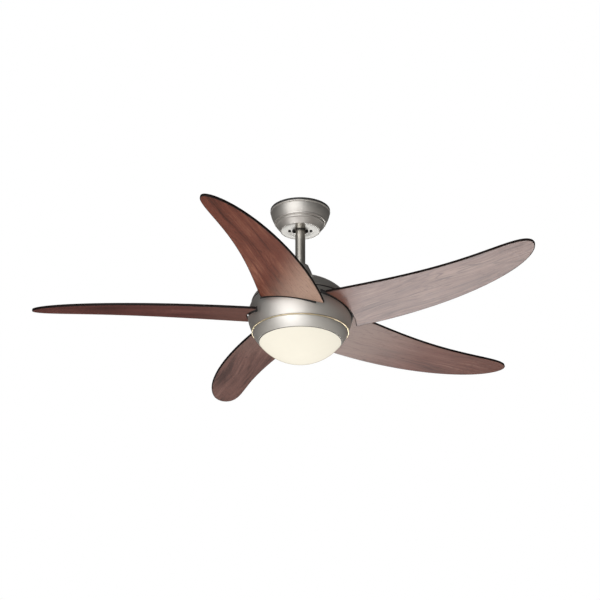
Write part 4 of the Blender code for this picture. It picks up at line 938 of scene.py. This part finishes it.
def make_iron(number):
    """Blade iron: the frame's own shape, merged, with its edges softened."""
    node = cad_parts["blade_iron_%d" % number]
    bm = bmesh.new()
    bm.from_mesh(node.data)
    bmesh.ops.remove_doubles(bm, verts=bm.verts, dist=1e-6)
    bmesh.ops.dissolve_limit(
        bm, angle_limit=radians(1), verts=bm.verts, edges=bm.edges, use_dissolve_boundaries=False,
    )
    sharp = [edge for edge in bm.edges if edge.is_manifold and edge.calc_face_angle() > radians(50)]
    bmesh.ops.bevel(
        bm, geom=sharp, offset=IRON_SOFTENING, segments=2, affect='EDGES', profile=0.5,
        material=-1, clamp_overlap=True,
    )
    bmesh.ops.triangulate(bm, faces=[face for face in bm.faces if len(face.verts) > 4])
    iron = make_object("pressed_iron_%d" % number, bm, [NICKEL_PRESSED], 30)
    declare(iron, "rotor", ["blade_iron_%d" % number])


def make_blade_screws(number, angle):
    place = around(angle) @ BLADE_PLACE
    seat = BLADE_THICK / 2 + 2 * GAP + IRON_THICK
    head, rise = IRON_SCREW_HEAD, IRON_SCREW_RISE
    tip = BLADE_THICK / 2 - IRON_SCREW_BITE
    along = SHELL_RADIUS + BLADE_ROOT_GAP + IRON_SCREW_ALONG
    for letter, across in IRON_SCREW_ACROSS:
        section = [(0, seat + rise)] + curve((
            (head * 0.3, seat + rise), (head * 0.8, seat + rise * 0.9),
            (head, seat + rise * 0.5), (head, seat + HEAD_EDGE),
        ), 8)
        section += [(head - HEAD_EDGE, seat), (SCREW_RADIUS, seat), (SCREW_RADIUS, tip),
                    (0, tip)]
        bm = turned(section, 24, closed=False)
        move = place @ Matrix.Translation((along, across, 0))
        bmesh.ops.transform(bm, verts=bm.verts, matrix=move)
        name = "iron_screw_%d%s" % (number, letter)
        screw = make_object(name, bm, [ZINC])
        cross_recess(screw, move @ Matrix.Translation((0, 0, seat + rise)), head, RECESS_DEPTH)
        declare(screw, "rotor", ["blade_screw_%d%s" % (number, letter)])


# ----------------------------------------------------------------- light kit
def make_light():
    section = arc((RING_RADIUS - SEAM_EDGE, RING_TOP - SEAM_EDGE), SEAM_EDGE, 90, 0, 5)
    section += arc((RING_RADIUS - SEAM_EDGE, RING_FOOT + SEAM_EDGE), SEAM_EDGE, 0, -90, 5)
    section += [(RING_INNER_RADIUS, RING_FOOT), (RING_INNER_RADIUS, RING_TOP)]
    ring = make_object("gold_trim_band", turned(section, FINE), [GOLD])
    declare(ring, "hanging", ["trim_ring"])

    height = FITTER_TOP - FITTER_FOOT
    outline = curve((
        (FITTER_TOP_RADIUS, FITTER_TOP - SEAM_EDGE),
        (FITTER_TOP_RADIUS - FITTER_BULGE, FITTER_TOP - height * 0.40),
        (FITTER_RIM_RADIUS + FITTER_BULGE, FITTER_FOOT + height * 0.20),
        (FITTER_RIM_RADIUS, FITTER_FOOT + SEAM_EDGE),
    ), 40)
    inner = offset(outline[::4], FITTER_WALL)
    shelf = FITTER_TOP - FITTER_SHELF_DROP
    collar_inner, collar_outer = NECK_RADIUS + COLLAR_GAP, NECK_RADIUS + COLLAR_REACH
    collar_top = FITTER_FOOT + COLLAR_HEIGHT
    top = (FITTER_TOP_RADIUS - SEAM_EDGE, FITTER_TOP - SEAM_EDGE)
    section = arc(top, SEAM_EDGE, 90, 0, 4)[:-1]
    section += outline
    rim = (FITTER_RIM_RADIUS - SEAM_EDGE, FITTER_FOOT + SEAM_EDGE)
    section += arc(rim, SEAM_EDGE, 0, -90, 4)[1:]
    section += [(collar_inner, FITTER_FOOT), (collar_inner, collar_top), (collar_outer, collar_top),
                ((collar_outer + inner[-3][0]) / 2, FITTER_FOOT + 0.0056)]
    section += [point for point in inner[::-1] if collar_top - 0.004 < point[1] < shelf - 0.003]
    section += [(FITTER_TOP_RADIUS - 0.0020, shelf - FITTER_WALL),
                (FITTER_SHELF_RADIUS, shelf - FITTER_WALL), (FITTER_SHELF_RADIUS, shelf),
                (FITTER_TOP_RADIUS - FITTER_WALL, shelf),
                (FITTER_TOP_RADIUS - FITTER_WALL, FITTER_TOP)]
    bm = turned(section, FINE)
    # Painted shade: the fitter's bottom faces take the black rubber, standing in for the dark gap
    # where the fitter meets the glass.
    for face in bm.faces:
        if max(vert.co.z for vert in face.verts) < FITTER_FOOT + 1e-5:
            face.material_index = 1
    fitter = make_object("light_fitter_shell", bm, [NICKEL, RUBBER])
    declare(fitter, "hanging", ["light_fitter"])


def make_shade():
    """Opal glass bowl with a ground shoulder, a neck and its three lugs."""
    depth = SHADE_TOP - SHADE_FOOT
    sphere = (SHADE_RADIUS ** 2 + depth ** 2) / (2 * depth)
    centre = SHADE_FOOT + sphere
    shoulder = SHADE_SHOULDER
    rim = asin((SHADE_RADIUS - 0.0001) / sphere) - 0.012
    outer = [
        (sphere * sin(rim * (1 - i / 60)), centre - sphere * cos(rim * (1 - i / 60)))
        for i in range(61)
    ]
    thin = sphere - GLASS_WALL
    mouth = NECK_RADIUS - GLASS_WALL
    reach = asin(mouth / thin)
    inner = [
        (thin * sin(reach * i / 40), centre - thin * cos(reach * i / 40)) for i in range(41)
    ]
    section = inner + [(mouth, NECK_TOP - MOUTH_EDGE), (mouth + MOUTH_EDGE, NECK_TOP),
                       (NECK_RADIUS - MOUTH_EDGE, NECK_TOP), (NECK_RADIUS, NECK_TOP - MOUTH_EDGE),
                       (NECK_RADIUS, SHADE_TOP)]
    section += arc((outer[0][0] - shoulder, SHADE_TOP - shoulder), shoulder, 90, 10, 5) + outer
    bm = turned(section, FINE, closed=False)
    lug_top = NECK_TOP - LUG_DROP
    for i in range(3):
        block = bmesh.new()
        add_block(block, (NECK_RADIUS - LUG_ROOT, -LUG_HALF_WIDTH, lug_top - LUG_HEIGHT),
                  (NECK_RADIUS + LUG_REACH, LUG_HALF_WIDTH, lug_top), around(i * 2 * pi / 3))
        bmesh.ops.bevel(block, geom=block.edges, offset=MOUTH_EDGE, segments=3, affect='EDGES',
                        profile=0.5, material=-1)
        lug = bpy.data.meshes.new("lug")
        block.to_mesh(lug)
        block.free()
        bm.from_mesh(lug)
        bpy.data.meshes.remove(lug)
    shade = make_object("opal_glass_bowl", bm, [OPAL])
    declare(shade, "shade", ["glass_shade"])


def dress_frame_nodes():
    """Give the frame's own inner parts their finishes."""
    finishes = {
        ZINC: ["ceiling_bracket", "ball_pin", "clevis_pin", "clevis_clip", "motor_shaft",
               "bearing_upper", "bearing_lower", "light_pan", "shaft_nut"],
        BLACK_PLASTIC: ["receiver", "capacitor"],
        WHITE_PLASTIC: ["terminal_block", "lamp_holder_1", "lamp_holder_2"],
        CASTING: ["rod_coupling", "rotor_case_upper", "rotor_case_lower"],
        LAMINATION: ["stator_core", "rotor_ring"],
        COPPER: ["winding_upper", "winding_lower"],
        BULB_GLASS: ["bulb_1", "bulb_2"],
    }
    for material, names in finishes.items():
        for name in names:
            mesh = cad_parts[name].data
            mesh.materials.clear()
            mesh.materials.append(material)


# ------------------------------------------------------- room, light, camera
FLOOR_Z = BLADE_Z - 2.30


def make_floor():
    bm = bmesh.new()
    bmesh.ops.create_grid(bm, x_segments=2, y_segments=2, size=9,
                          matrix=Matrix.Translation((0, 0, FLOOR_Z)))
    material, tree, shader = new_material("pale floor")
    place = tree.nodes.new("ShaderNodeTexCoord").outputs["Object"]
    skin = place_group(tree, MOULDED_SKIN, {
        "Position": place, "Grain": 40.0, "Depth": 0.03, "Roughness": 0.8,
    })
    pale = scale_colour(tree, (0.80, 0.79, 0.77), skin["Shade"])
    tree.links.new(pale, shader.inputs["Base Color"])
    tree.links.new(skin["Roughness"], shader.inputs["Roughness"])
    underside = tree.nodes.new("ShaderNodeNewGeometry").outputs["Backfacing"]
    clear = tree.nodes.new("ShaderNodeBsdfTransparent").outputs[0]
    join = put(tree, "ShaderNodeMixShader", {0: underside, 1: shader.outputs[0], 2: clear})
    tree.links.new(join.outputs[0], tree.nodes["Material Output"].inputs["Surface"])
    make_object("studio_floor", bm, [material])


def add_light(name, spot, target, size, power, colour=(1, 1, 1)):
    """Soft box at a spot, facing a target."""
    data = bpy.data.lights.new(name, 'AREA')
    data.shape = 'RECTANGLE'
    data.size, data.size_y = size
    data.energy = power
    data.color = colour
    item = bpy.data.objects.new(name, data)
    item.location = spot
    aim = Vector(target) - Vector(spot)
    item.rotation_euler = aim.to_track_quat('-Z', 'Y').to_euler()
    item.visible_camera = False
    bpy.context.collection.objects.link(item)
    return item


def make_studio():
    make_floor()
    hub = (0, 0, BLADE_Z)
    add_light("front box", (-1.5, -3.35, BLADE_Z - 0.1), hub, (3.8, 4.4), 112)
    add_light("low front box", (-0.6, -1.9, FLOOR_Z + 0.1), hub, (2.4, 1.6), 31, (0.93, 0.96, 1.0))
    add_light("low back panel", (0.3, 2.3, FLOOR_Z + 0.05), (0.3, 2.3, 0), (1.5, 1.2), 44)
    add_light("rear card", (0.0, 4.0, -1.8), (0, 0, BASE_Z), (1.2, 0.7), 1.6)
    under = add_light("under fill", (0.0, 0.0, FLOOR_Z + 0.1), hub, (3.0, 3.0), 28)
    above = add_light("ceiling box", (0.0, -0.6, 2.2), hub, (2.0, 2.0), 40)
    for item in (under, above):
        item.visible_glossy = False

    world = bpy.data.worlds.new("studio")
    bpy.context.scene.world = world
    world.use_nodes = True
    tree = world.node_tree
    seen = put(tree, "ShaderNodeBackground", {"Color": (1, 1, 1, 1), "Strength": 1.0})
    room = tree.nodes["Background"]
    room.inputs["Color"].default_value = (1.0, 0.985, 0.96, 1)
    path = tree.nodes.new("ShaderNodeLightPath").outputs
    room_level = maths(tree, 'MULTIPLY_ADD', path["Is Glossy Ray"], ROOM_GLOSSY_DROP, ROOM_LEVEL)
    tree.links.new(room_level, room.inputs["Strength"])
    join = put(tree, "ShaderNodeMixShader", {0: path["Is Camera Ray"], 1: room.outputs[0],
                                             2: seen.outputs[0]})
    tree.links.new(join.outputs[0], tree.nodes["World Output"].inputs["Surface"])

    lens = bpy.data.cameras.new("camera")
    lens.sensor_width = 36
    lens.lens = CAMERA_LENS
    camera = bpy.data.objects.new("camera", lens)
    camera.location = (CAMERA_SIDE, CAMERA_BACK, BLADE_Z - CAMERA_DROP)
    camera.rotation_euler = (CAMERA_TILT, 0, 0)
    bpy.context.collection.objects.link(camera)
    bpy.context.scene.camera = camera
    bpy.context.scene.view_settings.view_transform = 'Standard'


make_canopy()
make_base_plate()
make_hanger()
make_housing()
for number, angle in enumerate(blade_angles(), start=1):
    make_blade(number, angle)
    make_iron(number)
    make_blade_screws(number, angle)
make_light()
make_shade()
dress_frame_nodes()
make_studio()
